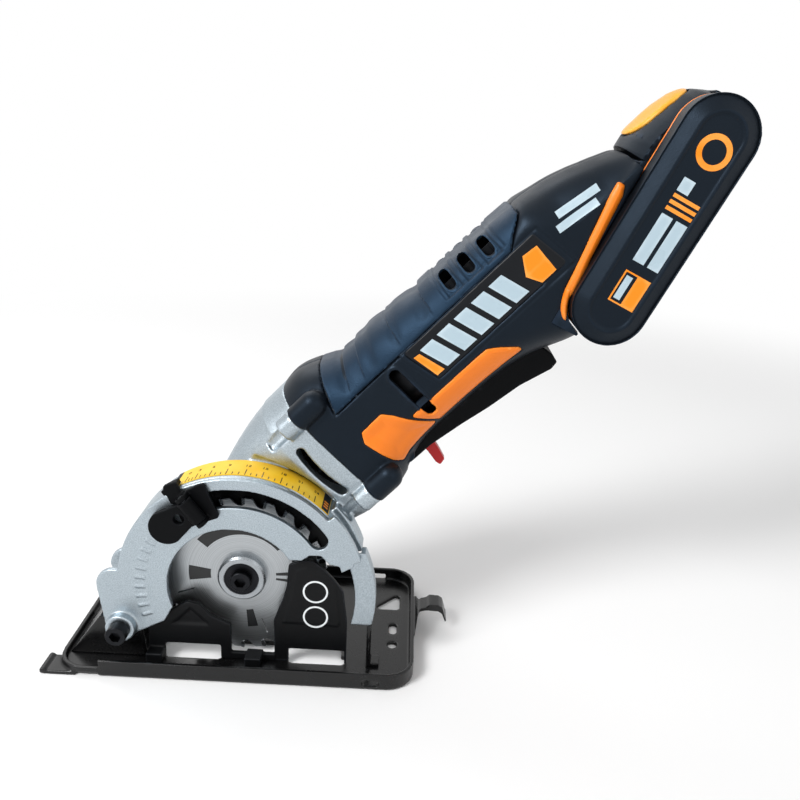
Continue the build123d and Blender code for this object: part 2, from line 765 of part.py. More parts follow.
# Cast gear case: drum, pivot boss, gear tower, neck and screw collars
with BuildPart() as gear_case:
    with BuildSketch(at_y(back_wall_far)):
        with Locations((0, arbor_height)):
            Circle(guard_radius)
        with Locations((lobe_x, lobe_z)):
            Circle(lobe_radius)
        with BuildLine():
            Polyline((lobe_x - lobe_radius, lobe_z), polar(pivot_boss_radius, 180, pivot_x, pivot_z),
                     (pivot_x, pivot_z - pivot_boss_radius), (-20, 28), (-20, 60), close=True)
        make_face()
        with Locations((pivot_x, pivot_z)):
            Circle(pivot_boss_radius)
        with BuildLine():
            reach = 2 * guard_radius
            Polyline((pivot_x + pivot_boss_radius, plunged_line(pivot_x + pivot_boss_radius, 12)),
                     (-20, plunged_line(-20, 12)), (-12, plunged_line(-12, sheet + sole_clearance)),
                     (reach, plunged_line(reach, sheet + sole_clearance)),
                     (reach, -reach), (pivot_x + pivot_boss_radius, -reach), close=True)
        make_face(mode=Mode.SUBTRACT)
    extrude(amount=back_wall_far - back_wall_near)
    with BuildSketch(at_y(back_wall_far)):
        with Locations((0, arbor_height)):
            Circle(guard_radius)
            Circle(guard_radius - guard_wall, mode=Mode.SUBTRACT)
        Polygon(*sector(guard_radius, 0, rim_end_angle), align=None, mode=Mode.INTERSECT)
        with BuildLine():
            Polyline((0, plunged_line(0, sheet + sole_clearance)),
                     (reach, plunged_line(reach, sheet + sole_clearance)), (reach, -reach), (0, -reach),
                     close=True)
        make_face(mode=Mode.SUBTRACT)
    extrude(amount=back_wall_far - open_rim_front)
    with BuildSketch(at_y(open_rim_front)):
        with Locations((0, arbor_height)):
            Circle(guard_radius)
            Circle(guard_radius - guard_wall, mode=Mode.SUBTRACT)
        Polygon(*sector(guard_radius, rim_join_angle, rim_end_angle), align=None, mode=Mode.INTERSECT)
    extrude(amount=open_rim_front - plate_back)
    with BuildSketch(at_y(back_wall_far)):
        add(ridge.sketch)
    extrude(amount=back_wall_far - ridge_near)
    with Locations(along_y(pivot_x, pivot_z, boss_near)):
        Cylinder(pivot_boss_radius, boss_far - boss_near, align=low)
    with BuildSketch(at_y(tower_far)):
        with Locations((0, arbor_height)):
            Circle(gear_wall)
        with Locations((idler_x, idler_z)):
            Circle(cover_radius)
        make_hull()
    extrude(amount=tower_far - back_wall_near)
    with Locations(along_y(idler_x, idler_z, tower_far)):
        Cylinder(cover_radius, cover_near - tower_far, align=low)
    with Locations(along_y(0, arbor_height - lock_ring, tower_far)):
        Cylinder(lock_boss_radius, lock_boss_far - tower_far, align=low)
    for s, top, bottom, half, corner in neck_stations:
        with BuildSketch(across(s, (top + bottom) / 2)):
            RectangleRounded(2 * half, top - bottom, corner)
    loft()
    neck_from = neck_stations[-1][0]
    neck_s, neck_top, neck_bottom, neck_half, neck_corner = stations[0]
    with BuildSketch(across(neck_from, (neck_top + neck_bottom) / 2)):
        RectangleRounded(2 * neck_half - cut_over, neck_top - neck_bottom, neck_corner - cut_over)
    extrude(amount=neck_end - neck_from)
    for t, y in boss_places:
        with Locations(across(collar_from, t, y)):
            Cylinder(collar_radius, neck_end - collar_from, align=low)
    with BuildSketch(at_y(scale_far + run_gap)):
        with Locations((0, arbor_height)):
            Circle(guard_radius + pointer_height + run_gap)
            Circle(guard_radius, mode=Mode.SUBTRACT)
        Polygon(*sector(guard_radius, scale_from - 1, scale_to + 12), align=None, mode=Mode.INTERSECT)
    extrude(amount=reach, mode=Mode.SUBTRACT)
    # Bores: pivot, spindle bearing and gear, spindle bush, idler, bevel chamber
    with Locations(along_y(pivot_x, pivot_z, plate_back - cut_over)):
        Cylinder(pivot_radius + shaft_gap, boss_far - plate_back + 2 * cut_over,
                 align=low, mode=Mode.SUBTRACT)
    with Locations(along_y(0, arbor_height, back_wall_near - 20)):
        Cylinder(bearing_radius, 20 + spur_near + spur_width + cut_over - back_wall_near, align=low,
                 mode=Mode.SUBTRACT)
    with Locations(along_y(0, arbor_height, spur_near + spur_width)):
        Cylinder(spindle_tail_radius + bush_wall, spindle_far - spur_near - spur_width + cut_over, align=low,
                 mode=Mode.SUBTRACT)
    with Locations(along_y(idler_x, idler_z, idler_near)):
        Cylinder(idler_radius + bush_wall, spur_near - idler_near, align=low, mode=Mode.SUBTRACT)
    with Locations(along_y(idler_x, idler_z, spur_near - cut_over)):
        Cylinder(idler_pitch + spur_module + run_gap, spur_width + 2 * cut_over,
                 align=low, mode=Mode.SUBTRACT)
    with Locations(along_y(idler_x, idler_z, spur_near + spur_width)):
        Cylinder(cover_radius - 2.8, cover_near - spur_near - spur_width + cut_over, align=low,
                 mode=Mode.SUBTRACT)
    with Locations(across(idler_s)):
        Cylinder(pinion_pitch + 1.4, front_bearing_from - idler_s, align=low, mode=Mode.SUBTRACT)
    with Locations(across(front_bearing_from)):
        Cylinder(motor_bearing_radius, chamber_from - front_bearing_from, align=low, mode=Mode.SUBTRACT)
    with Locations(across(chamber_from)):
        Cylinder(chamber_radius, neck_end - chamber_from + cut_over, align=low, mode=Mode.SUBTRACT)
    with BuildSketch(handle_side(motor_y + 2 * neck_half)):
        with BuildLine(mode=Mode.PRIVATE) as exhaust_line:
            ThreePointArc((exhaust_at + exhaust_bow, exhaust_low),
                          (exhaust_at, (exhaust_low + exhaust_high) / 2),
                          (exhaust_at + exhaust_bow, exhaust_high))
        SlotArc(exhaust_line.edges()[0], exhaust_width)
    extrude(amount=4 * neck_half, mode=Mode.SUBTRACT)
    with Locations(along_y(0, arbor_height - lock_ring, spur_near + spur_width)):
        Cylinder(lock_stem_radius + shaft_gap, lock_boss_far - spur_near, align=low, mode=Mode.SUBTRACT)
    for t, y in boss_places:
        with Locations(across(screw_seat, t, y)):
            Cylinder(gear_screw_radius, neck_end - screw_seat, align=low, mode=Mode.SUBTRACT)
        with Locations(across(collar_from - 2 * collar_radius, t, y)):
            Cylinder(gear_screw_head, screw_seat - collar_from + 2 * collar_radius, align=low,
                     mode=Mode.SUBTRACT)
    with Locations(along_y(idler_x, idler_z, cover_near)):
        Cylinder(cover_radius + cover_screw_radius, reach, align=low, mode=Mode.SUBTRACT)
    with Locations(*[along_y(x, z, tower_far) for x, z in cover_screw_places]):
        Cylinder(cover_screw_radius, cover_near - tower_far, align=low, mode=Mode.SUBTRACT)

# Front plate of the guard with its round opening and the depth slot
with BuildPart() as guard_plate:
    with BuildSketch(at_y(plate_back)):
        add(ridge.sketch)
        with Locations((0, arbor_height)):
            Circle(guard_radius)
        with Locations((lobe_x, lobe_z)):
            Circle(lobe_radius)
        with Locations((pivot_x, pivot_z)):
            Circle(pivot_boss_radius)
        with BuildLine():
            Polyline((lobe_x - lobe_radius, lobe_z), polar(pivot_boss_radius, 180, pivot_x, pivot_z),
                     (pivot_x, pivot_z - pivot_boss_radius), (-20, 28), (-20, 60), close=True)
        make_face()
        with BuildLine():
            Polyline((pivot_x + 3, pivot_z - pivot_boss_radius), (-50, plunged_line(-50, 15)),
                     (-36, plunged_line(-36, 15)), (-32, 33), (opening_x, arbor_height), (25, 62.5),
                     (31, 62.5),
                     (35, 65.5), (40, 65.5), (44, 61), (49, 60),
                     (50, plunged_line(50, sheet + sole_clearance)),
                     (reach, plunged_line(reach, sheet + sole_clearance)), (reach, -reach),
                     (pivot_x + 3, -reach), close=True)
        make_face(mode=Mode.SUBTRACT)
        with Locations((opening_x, arbor_height)):
            Circle(opening_radius, mode=Mode.SUBTRACT)
        with BuildLine(mode=Mode.PRIVATE) as slot_line:
            CenterArc((0, arbor_height), depth_slot_radius, depth_slot_from, depth_slot_to - depth_slot_from)
        SlotArc(slot_line.edges()[0], depth_slot_width, mode=Mode.SUBTRACT)
    extrude(amount=plate_back - plate_front)
    with Locations(along_y(pivot_x, pivot_z, collar_front)):
        Cylinder(pivot_collar_radius, plate_back - collar_front, align=low)
        Cylinder(pivot_radius + shaft_gap, plate_back - collar_front, align=low, mode=Mode.SUBTRACT)

with BuildPart() as depth_scale:
    with BuildSketch(at_y(scale_far)):
        with Locations((0, arbor_height)):
            Circle(guard_radius + scale_thickness)
            Circle(guard_radius, mode=Mode.SUBTRACT)
        Polygon(*sector(guard_radius, scale_from, scale_to), align=None, mode=Mode.INTERSECT)
    extrude(amount=scale_far - scale_near)

# Depth stop: slider on the plate, stem in the slot, nut behind it, and a flip lever on a pin
stop_x, stop_z = polar(depth_slot_radius, stop_angle)
slider_back = plate_front - run_gap / 2
slider_face = slider_back - slider_thickness
lever_axis_y = slider_face - lever_eye_radius - run_gap
stop_plane = Plane(origin=(stop_x, slider_back, stop_z),
                   x_dir=(cos(radians(stop_angle)), 0, sin(radians(stop_angle))), z_dir=(0, -1, 0))
lever_plane = Plane(origin=(stop_x, lever_axis_y, stop_z),
                    x_dir=(sin(radians(lever_turn)), 0, -cos(radians(lever_turn))), z_dir=(0, -1, 0))
lug_at = lever_eye_length / 2 + run_gap
stem_end = plate_back + run_gap / 2
with BuildPart() as depth_slider:
    with BuildSketch(stop_plane):
        with Locations(((slider_inner + slider_outer) / 2 - depth_slot_radius, slider_bar_at)):
            RectangleRounded(slider_outer - slider_inner, slider_bar_width, slider_corner)
        with Locations((0, slider_base_at)):
            RectangleRounded(slider_base_width, slider_base_length, slider_corner)
        with Locations(slider_arm_at):
            RectangleRounded(slider_arm_reach, slider_arm_width, slider_corner)
    extrude(amount=slider_thickness)
    with BuildSketch(at_y(slider_face)):
        with Locations((0, arbor_height)):
            Circle(guard_radius + pointer_height)
            Circle(guard_radius + scale_thickness + run_gap, mode=Mode.SUBTRACT)
        Polygon(*sector(guard_radius, stop_angle + pointer_from, stop_angle + pointer_to), align=None,
                mode=Mode.INTERSECT)
    extrude(amount=slider_face - pointer_end)
    for side in (-1, 1):
        lug_plane = Plane(origin=lever_plane.from_local_coords((side * lug_at, 0, 0)),
                          x_dir=lever_plane.z_dir, z_dir=lever_plane.x_dir * side)
        with BuildSketch(lug_plane):
            Circle(lug_radius)
            Rectangle(lever_eye_radius + run_gap, 2 * lug_radius, align=(Align.MAX, Align.CENTER))
            Circle(lever_pin_radius, mode=Mode.SUBTRACT)
        extrude(amount=lug_thickness)
    with Locations(along_y(stop_x, stop_z, slider_back)):
        Cylinder(depth_slot_width / 2 - stem_gap, stem_end - slider_back, align=low)

with BuildPart() as clamp_nut:
    with Locations(Plane(origin=(stop_x, stem_end, stop_z), x_dir=stop_plane.x_dir, z_dir=(0, 1, 0))):
        Box(clamp_nut_size, 2 * clamp_nut_size, clamp_nut_thickness, align=low)

lever_pin_length = 2 * (lug_at + lug_thickness)
pin_plane = Plane(origin=lever_plane.from_local_coords((-lever_pin_length / 2, 0, 0)),
                  x_dir=lever_plane.z_dir, z_dir=lever_plane.x_dir)
with BuildPart() as lever_pin:
    with Locations(pin_plane):
        Cylinder(lever_pin_radius, lever_pin_length, align=low)

with BuildPart() as depth_lever:
    with BuildSketch(lever_plane.offset(-lever_eye_radius)):
        with BuildLine():
            half_eye = lever_eye_length / 2
            half_end = lever_width / 2
            Polyline((half_end, lever_length - half_end), (half_eye, lever_eye_radius), (half_eye, 0),
                     (-half_eye, 0), (-half_eye, lever_eye_radius), (-half_end, lever_length - half_end))
            ThreePointArc((-half_end, lever_length - half_end), (0, lever_length),
                          (half_end, lever_length - half_end))
        make_face()
        with Locations((0, lever_hole_at)):
            Circle(lever_hole_radius, mode=Mode.SUBTRACT)
    extrude(amount=lever_thickness)
    eye_plane = Plane(origin=lever_plane.from_local_coords((-lever_eye_length / 2, 0, 0)),
                      x_dir=lever_plane.z_dir, z_dir=lever_plane.x_dir)
    with Locations(eye_plane):
        Cylinder(lever_eye_radius, lever_eye_length, align=low)
        Cylinder(lever_pin_radius + shaft_gap, lever_eye_length, align=low, mode=Mode.SUBTRACT)

# Spindle with its flanges, blade, bolt and gear
spindle_near = -blade_thickness / 2 + spigot_gap
with BuildPart() as spindle:
    with Locations(along_y(0, arbor_height, spindle_near)):
        Cylinder(spindle_radius, spindle_tail_from - spindle_near, align=low)
    with Locations(along_y(0, arbor_height, spindle_tail_from)):
        Cylinder(spindle_tail_radius, spindle_far - spindle_tail_from, align=low)
    with Locations(along_y(0, arbor_height, spindle_near)):
        Cylinder(bolt_radius, bolt_length, align=low, mode=Mode.SUBTRACT)

flange_face = blade_thickness / 2
flange_back = flange_face + flange_thickness
with BuildPart() as inner_flange:
    with Locations(along_y(0, arbor_height, -flange_face + spigot_gap)):
        Cylinder(arbor_radius, blade_thickness - spigot_gap, align=low)
    with Locations(along_y(0, arbor_height, flange_face)):
        Cylinder(flange_radius, flange_thickness, align=low)
        Cylinder(flange_radius - flange_ring, flange_relief, align=low, mode=Mode.SUBTRACT)
        Cylinder(arbor_radius, flange_relief, align=low)
    with Locations(along_y(0, arbor_height, flange_back)):
        Cylinder(hub_radius, bearing_near - flange_back, align=low)
    with Locations(along_y(0, arbor_height, -flange_back)):
        Cylinder(spindle_radius, flange_back + bearing_near, align=low, mode=Mode.SUBTRACT)

with BuildPart() as outer_flange:
    with Locations(along_y(0, arbor_height, -flange_back)):
        Cylinder(flange_radius, flange_thickness, align=low)
    chamfer(outer_flange.faces().sort_by(Axis.Y)[0].edges(), flange_chamfer)
    with Locations(along_y(0, arbor_height, -flange_back)):
        Cylinder(flange_radius - flange_ring, flange_recess, align=low, mode=Mode.SUBTRACT)
        Cylinder(bolt_radius, flange_thickness, align=low, mode=Mode.SUBTRACT)

with BuildPart() as blade_bolt:
    with Locations(along_y(0, arbor_height, -flange_back - bolt_head_height)):
        Cylinder(bolt_head_radius, bolt_head_height, align=low)
    fillet(blade_bolt.faces().sort_by(Axis.Y)[0].edges(), bolt_edge)
    with Locations(along_y(0, arbor_height, -flange_back)):
        Cylinder(bolt_disc_radius, flange_recess, align=low)
        Cylinder(bolt_radius, flange_back + spindle_near + bolt_length, align=low)
    with BuildSketch(at_y(-flange_back - bolt_head_height + hex_socket_depth)):
        with Locations((0, arbor_height)):
            RegularPolygon(hex_socket_radius, 6)
    extrude(amount=hex_socket_depth + cut_over, mode=Mode.SUBTRACT)

# One gullet, cut out of the plain disc at every tooth, and the tip that stands in front of it
tooth_pitch = 360 / tooth_count
tip_height = 3.4
tip_depth = 1.5
with BuildSketch() as gullet:
    with BuildLine():
        Spline((blade_radius + 1, 0), (blade_radius - gullet_depth, 0.4),
               (blade_radius - gullet_depth + 0.6, 2.6), (blade_radius - 1.6, 5.0),
               (blade_radius - 0.2, tooth_gap))
        Polyline((blade_radius - 0.2, tooth_gap), (blade_radius + 1, tooth_gap), (blade_radius + 1, 0))
    make_face()
    Polygon((blade_radius + 1, -tip_depth), (blade_radius - tip_height, -tip_depth),
            (blade_radius - tip_height, 1), (blade_radius + 1, 1), align=None)

with BuildPart() as saw_blade:
    with BuildSketch(at_y(blade_thickness / 2)):
        with Locations((0, arbor_height)):
            Circle(blade_radius - 0.4)
            Circle(arbor_radius, mode=Mode.SUBTRACT)
            with PolarLocations(0, tooth_count):
                add(gullet.sketch, mode=Mode.SUBTRACT)
            with PolarLocations(blade_radius - 12, 4, start_angle=20):
                SlotOverall(9, 0.8, mode=Mode.SUBTRACT)
    extrude(amount=blade_thickness)

with BuildPart() as carbide_tips:
    with BuildSketch(at_y(kerf / 2)):
        with Locations((0, arbor_height)):
            with PolarLocations(0, tooth_count):
                Polygon((blade_radius - tip_height, -tip_depth), (blade_radius - tip_height, -0.2),
                        (blade_radius, 0), (blade_radius - 0.35, -tip_depth), align=None)
    extrude(amount=kerf)

groove_depth = lock_travel - lock_rest_gap + run_gap
groove_half = lock_stem_radius + run_gap
with BuildPart() as spindle_gear:
    with BuildSketch(at_y(spur_near + spur_width)):
        with Locations((0, arbor_height)):
            Circle(spindle_pitch - dedendum * spur_module)
            with PolarLocations(0, spindle_teeth, start_angle=mesh_angle):
                Polygon(*involute_tooth(spindle_pitch, spur_module, spindle_teeth, tooth_slack), align=None)
            Circle(spindle_radius, mode=Mode.SUBTRACT)
    extrude(amount=spur_width)
    with BuildSketch(at_y(spur_near + spur_width)):
        with Locations((0, arbor_height)):
            Circle(lock_ring + groove_half)
            Circle(lock_ring - groove_half, mode=Mode.SUBTRACT)
    extrude(amount=groove_depth, mode=Mode.SUBTRACT)

# Bearings and bushes of the drive line
with BuildPart() as bearings:
    with Locations(along_y(0, arbor_height, bearing_near)):
        Cylinder(bearing_radius, bearing_width, align=low)
        Cylinder(spindle_radius + shaft_gap, bearing_width, align=low, mode=Mode.SUBTRACT)
    with Locations(across(front_bearing_from), across(can_to + can_wall)):
        Cylinder(motor_bearing_radius, motor_bearing_width, align=low)
        Cylinder(motor_shaft_radius + shaft_gap, motor_bearing_width, align=low, mode=Mode.SUBTRACT)

with BuildPart() as bearing_retainer:
    with Locations(along_y(0, arbor_height, back_wall_near)):
        Cylinder(bearing_radius, bearing_near - back_wall_near, align=low)
        Cylinder(hub_radius + run_gap, bearing_near - back_wall_near, align=low, mode=Mode.SUBTRACT)

with BuildPart() as drive_bushes:
    with Locations(along_y(0, arbor_height, spindle_bush_from)):
        Cylinder(spindle_tail_radius + bush_wall, spindle_bush_length, align=low)
        Cylinder(spindle_tail_radius + shaft_gap, spindle_bush_length, align=low, mode=Mode.SUBTRACT)
    with Locations(along_y(idler_x, idler_z, idler_near), along_y(idler_x, idler_z, cover_near)):
        Cylinder(idler_radius + bush_wall, idler_bush_length, align=low)
        Cylinder(idler_radius + shaft_gap, idler_bush_length, align=low, mode=Mode.SUBTRACT)

# Idler: its own small spur gear, and the crown gear that the motor's pinion drives
with BuildPart() as idler_shaft:
    with Locations(along_y(idler_x, idler_z, idler_near + run_gap)):
        Cylinder(idler_radius, idler_far - idler_near - run_gap, align=low)
    with BuildSketch(at_y(spur_near + spur_width)):
        with Locations((idler_x, idler_z)):
            Circle(idler_pitch - dedendum * spur_module)
            with PolarLocations(0, idler_teeth, start_angle=mesh_angle + 180 + 180 / idler_teeth):
                Polygon(*involute_tooth(idler_pitch, spur_module, idler_teeth, tooth_slack), align=None)
    extrude(amount=spur_width)

crown_axis = Plane(origin=(idler_x, motor_y, idler_z), x_dir=handle_dir, z_dir=(0, 1, 0))
crown_along = Vector(bevel_pitch / cone_length, pinion_pitch / cone_length)
crown_out = Vector(pinion_pitch / cone_length, -bevel_pitch / cone_length)
crown_tip = crown_along * cone_length + crown_out * (addendum * bevel_module)
crown_root = crown_along * cone_length - crown_out * (dedendum * bevel_module)
crown_profile = Plane(origin=crown_axis.origin, x_dir=handle_dir,
                      z_dir=handle_dir.cross(Vector(0, 1, 0)))
space_half = pi * bevel_module / 4 + tooth_slack / 4
with BuildPart() as crown_space:
    for scale_by in (1.12, inner_cone * 0.85):
        space_plane = Plane(origin=crown_profile.from_local_coords(crown_along * (cone_length * scale_by)),
                            x_dir=crown_profile.z_dir,
                            z_dir=crown_profile.x_dir * crown_along.X + crown_profile.y_dir * crown_along.Y)
        deep = -dedendum * bevel_module * scale_by
        high = 2 * addendum * bevel_module * scale_by
        side = tan(radians(pressure_angle))
        facing = 1 if space_plane.y_dir.dot(Vector(0, 1, 0)) < 0 else -1
        with BuildSketch(space_plane):
            Polygon((-space_half * scale_by - deep * -side, facing * deep),
                    (space_half * scale_by + deep * side, facing * deep),
                    (space_half * scale_by + high * side, facing * high),
                    (-space_half * scale_by - high * side, facing * high), align=None)
    loft(ruled=True)

with BuildPart() as bevel_gear:
    with BuildSketch(crown_profile):
        with BuildLine():
            tip_in = crown_tip * inner_cone
            Polyline((idler_radius, tip_in.Y), (tip_in.X, tip_in.Y), (crown_tip.X, crown_tip.Y),
                     (crown_root.X, crown_root.Y), (crown_root.X - 1, crown_root.Y + bevel_back / 2),
                     (bevel_hub_radius, crown_root.Y + bevel_back / 2),
                     (bevel_hub_radius, crown_root.Y + bevel_back), (idler_radius, crown_root.Y + bevel_back),
                     close=True)
        make_face()
    revolve(axis=Axis(crown_axis.origin, (0, 1, 0)))
    turn_axis = Axis(crown_axis.origin, (0, 1, 0))
    add([crown_space.part.rotate(turn_axis, 360 / bevel_teeth * place) for place in range(bevel_teeth)],
        mode=Mode.SUBTRACT)

pinion_along = Vector(bevel_pitch / cone_length, pinion_pitch / cone_length)
pinion_out = Vector(-pinion_pitch / cone_length, bevel_pitch / cone_length)
pinion_root = pinion_along * cone_length - pinion_out * (dedendum * bevel_module)
virtual_pitch = pinion_pitch * cone_length / bevel_pitch
virtual_teeth = pinion_teeth * cone_length / bevel_pitch
with BuildPart() as pinion_tooth:
    for scale_by in (1.0, inner_cone):
        tooth_plane = Plane(origin=crown_profile.from_local_coords(pinion_along * (cone_length * scale_by)),
                            x_dir=(crown_profile.x_dir * pinion_out.X + crown_profile.y_dir * pinion_out.Y),
                            z_dir=(crown_profile.x_dir * pinion_along.X
                                   + crown_profile.y_dir * pinion_along.Y))
        outline = involute_tooth(virtual_pitch, bevel_module, virtual_teeth, tooth_slack)
        with BuildSketch(tooth_plane):
            Polygon(*[((x - virtual_pitch) * scale_by, y * scale_by) for x, y in outline], align=None)
    loft(ruled=True)

with BuildPart() as motor_pinion:
    with BuildSketch(crown_profile):
        with BuildLine():
            root_in = pinion_root * inner_cone
            Polyline((root_in.X, nose_radius), (root_in.X, root_in.Y), (pinion_root.X, pinion_root.Y),
                     (pinion_root.X + pinion_hub, pinion_root.Y), (pinion_root.X + pinion_hub, nose_radius),
                     close=True)
        make_face()
    revolve(axis=Axis(crown_axis.origin, handle_dir))
    motor_axis = Axis(crown_axis.origin, handle_dir)
    add([pinion_tooth.part.rotate(motor_axis, 360 / pinion_teeth * place) for place in range(pinion_teeth)])

pinion_from = idler_s + root_in.X
pinion_to = idler_s + pinion_root.X + pinion_hub
with BuildPart() as motor_shaft:
    with Locations(across(pinion_from)):
        Cylinder(nose_radius, pinion_to - pinion_from, align=low)
    with Locations(across(pinion_to)):
        Cylinder(motor_shaft_radius, motor_shaft_end - pinion_to, align=low)

# Gear cover with its screws, and the spindle lock
with BuildPart() as gear_cover:
    with Locations(along_y(idler_x, idler_z, cover_near)):
        Cylinder(cover_radius, cover_far - cover_near, align=low)
    fillet(gear_cover.faces().sort_by(Axis.Y)[-1].edges(), 1.5)
    with Locations(along_y(idler_x, idler_z, cover_near)):
        Cylinder(idler_radius + bush_wall, idler_bush_length, align=low, mode=Mode.SUBTRACT)
    with Locations(*[along_y(x, z, cover_near) for x, z in cover_screw_places]):
        Cylinder(cover_screw_radius, cover_far - cover_near, align=low, mode=Mode.SUBTRACT)

with BuildPart() as cover_screws:
    with Locations(*[along_y(x, z, tower_far) for x, z in cover_screw_places]):
        Cylinder(cover_screw_radius, cover_far - tower_far, align=low)
    with Locations(*[along_y(x, z, cover_far) for x, z in cover_screw_places]):
        Cylinder(2 * cover_screw_radius, cover_screw_radius, align=low)

lock_x, lock_z = 0.0, arbor_height - lock_ring
lock_tip = spur_near + spur_width + lock_rest_gap
lock_head_from = lock_boss_far + lock_travel + 0.4
with BuildPart() as lock_button:
    with Locations(along_y(lock_x, lock_z, lock_tip)):
        Cylinder(lock_stem_radius, lock_head_from - lock_tip, align=low)
    with Locations(along_y(lock_x, lock_z, lock_head_from)):
        Cylinder(lock_head_radius, lock_head_height, align=low)
    fillet(lock_button.faces().sort_by(Axis.Y)[-1].edges(), 0.8)

# Motor: can with magnets, end bell, brushes, bearings, rotor with windings, commutator and fan
with BuildPart() as motor_can:
    with Locations(across(can_from)):
        Cylinder(can_radius, can_to - can_from, align=low)
    with Locations(across(can_from + can_wall)):
        Cylinder(can_radius - can_wall, can_to - can_from, align=low, mode=Mode.SUBTRACT)
    with Locations(across(can_from)):
        Cylinder(motor_bearing_radius, can_wall, align=low, mode=Mode.SUBTRACT)

with BuildPart() as motor_magnets:
    with BuildSketch(across(rotor_from)):
        Circle(can_radius - can_wall)
        Circle(magnet_inner, mode=Mode.SUBTRACT)
        Rectangle(2 * can_radius, can_radius * 0.6, mode=Mode.SUBTRACT)
    extrude(amount=rotor_to - rotor_from)

with BuildPart() as motor_end_bell:
    with Locations(across(can_to)):
        Cylinder(can_radius, end_bell_length, align=low)
    fillet(motor_end_bell.faces().sort_by(Axis(handle_at(0, 0), handle_dir))[-1].edges(), 1.2)
    with Locations(across(can_to)):
        Cylinder(motor_bearing_radius, can_wall + motor_bearing_width, align=low, mode=Mode.SUBTRACT)
        Cylinder(motor_shaft_radius + run_gap, end_bell_length, align=low, mode=Mode.SUBTRACT)

commutator_from = rotor_to + winding_length + 0.5
with BuildPart() as motor_brushes:
    for side in (1, -1):
        brush_plane = Plane(origin=handle_at(commutator_from + commutator_length / 2, motor_offset,
                                             motor_y + side * (commutator_radius + shaft_gap)),
                            x_dir=handle_dir, z_dir=(0, side, 0))
        with Locations(brush_plane):
            Box(brush_width, brush_width, can_radius - can_wall - 0.6 - commutator_radius - shaft_gap,
                align=low)

with BuildPart() as rotor_core:
    with BuildSketch(across(rotor_from)):
        Circle(rotor_radius)
        Circle(motor_shaft_radius, mode=Mode.SUBTRACT)
        with PolarLocations(rotor_radius - 3.2, rotor_slots):
            SlotOverall(6.0, 2.6, mode=Mode.SUBTRACT)
    extrude(amount=rotor_to - rotor_from)

with BuildPart() as windings:
    for s in (rotor_from - winding_length, rotor_to):
        with BuildSketch(across(s)):
            Circle(winding_radius)
            Circle(motor_shaft_radius, mode=Mode.SUBTRACT)
        extrude(amount=winding_length)
    with BuildSketch(across(rotor_from)):
        with PolarLocations(rotor_radius - 3.2, rotor_slots):
            SlotOverall(5.2, 2.0)
        Circle(winding_radius, mode=Mode.INTERSECT)
    extrude(amount=rotor_to - rotor_from)

with BuildPart() as commutator:
    with BuildSketch(across(commutator_from)):
        Circle(commutator_radius)
        Circle(motor_shaft_radius, mode=Mode.SUBTRACT)
        with PolarLocations(commutator_radius, rotor_slots):
            Rectangle(1.2, 0.4, mode=Mode.SUBTRACT)
    extrude(amount=commutator_length)

with BuildPart() as cooling_fan:
    with BuildSketch(across(fan_from)):
        Circle(fan_radius)
        Circle(motor_shaft_radius, mode=Mode.SUBTRACT)
    extrude(amount=1.4)
    with BuildSketch(across(fan_from)):
        Circle(6.0)
        with PolarLocations(13.0, fan_blades):
            Rectangle(15.5, 1.2, rotation=18)
        Circle(motor_shaft_radius, mode=Mode.SUBTRACT)
        Circle(fan_radius, mode=Mode.INTERSECT)
    extrude(amount=fan_length)

# Handle shells: the foot is cut along the pack, the inside is hollow
pack_clear_front = -pack_low - 1.5
far_out = 200.0
with BuildPart() as hollow:
    add(barrel_inner)
    with BuildSketch(pack_side(motor_y + pack_half_width)):
        with Locations((pack_clear_front - wall, foot_low + foot_wall)):
            Rectangle(far_out, far_out, align=(Align.MIN, Align.MAX))
    extrude(amount=2 * pack_half_width, mode=Mode.SUBTRACT)

with BuildPart() as screw_posts:
    with Locations(*[along_y(handle_at(s, t).X, handle_at(s, t).Z, motor_y - far_out / 2)
                     for s, t in shell_screw_places]):
        Cylinder(screw_post_radius, far_out, align=low)
    add(barrel_skin, mode=Mode.INTERSECT)

grip_line = [(93, 26.5), (202, 26), (207, 30), (215, 35), (216, 42), (216, 70), (107, 70)]
scoop_line = [(95.7, 12), (108.6, 12.2), (112.4, 7.5), (116, 0.8), (123.2, -11), (103.4, -12.3), (98.1, -14),
              (95.7, -9.4), (92.8, 7)]
strip_line = [(117.2, 1.3), (164.7, 1.3), (169.2, -2), (175.8, -8.8), (176.5, -11.3), (142.2, -10.8),
              (124.8, -11)]
foot_line = [(202, -14.5), (201.5, -10), (208, -2.6), (216, 0.7), (248, 14.7), (254, 16.7), (254.7, 13.4),
             (251.5, 10.8), (223.4, -0.5), (213.9, -5.2)]
badge_line = [(140, 5.5), (136, 25.5), (214, 25.5), (217, 5.5)]


def side_panel(outline, outer, inner):
    """A panel in the side of the barrel, between two of its layers, inside an outline in s and t."""
    with BuildPart() as panel:
        with BuildSketch(handle_side(motor_y)):
            with BuildLine():
                FilletPolyline(*outline, radius=panel_corner, close=True)
            make_face()
        extrude(amount=far_out)
        add(outer, mode=Mode.INTERSECT)
        add(inner, mode=Mode.SUBTRACT)
    return panel.part


grip_panel = side_panel(grip_line, barrel_outer, barrel_skin)
scoop_panel = side_panel(scoop_line, barrel_outer, barrel_skin)
strip_panel = side_panel(strip_line, barrel_outer, barrel_skin)
foot_panel = side_panel(foot_line, barrel_outer, barrel_skin)
badge_panel = side_panel(badge_line, barrel_outer, barrel_skin)

with BuildPart() as domed_bosses:
    for t, y in boss_places:
        with Locations(across(neck_end, t, y)):
            Cylinder(boss_radius, boss_end - neck_end, align=low)
        with Locations(across(boss_end, t, y)):
            Sphere(boss_radius)

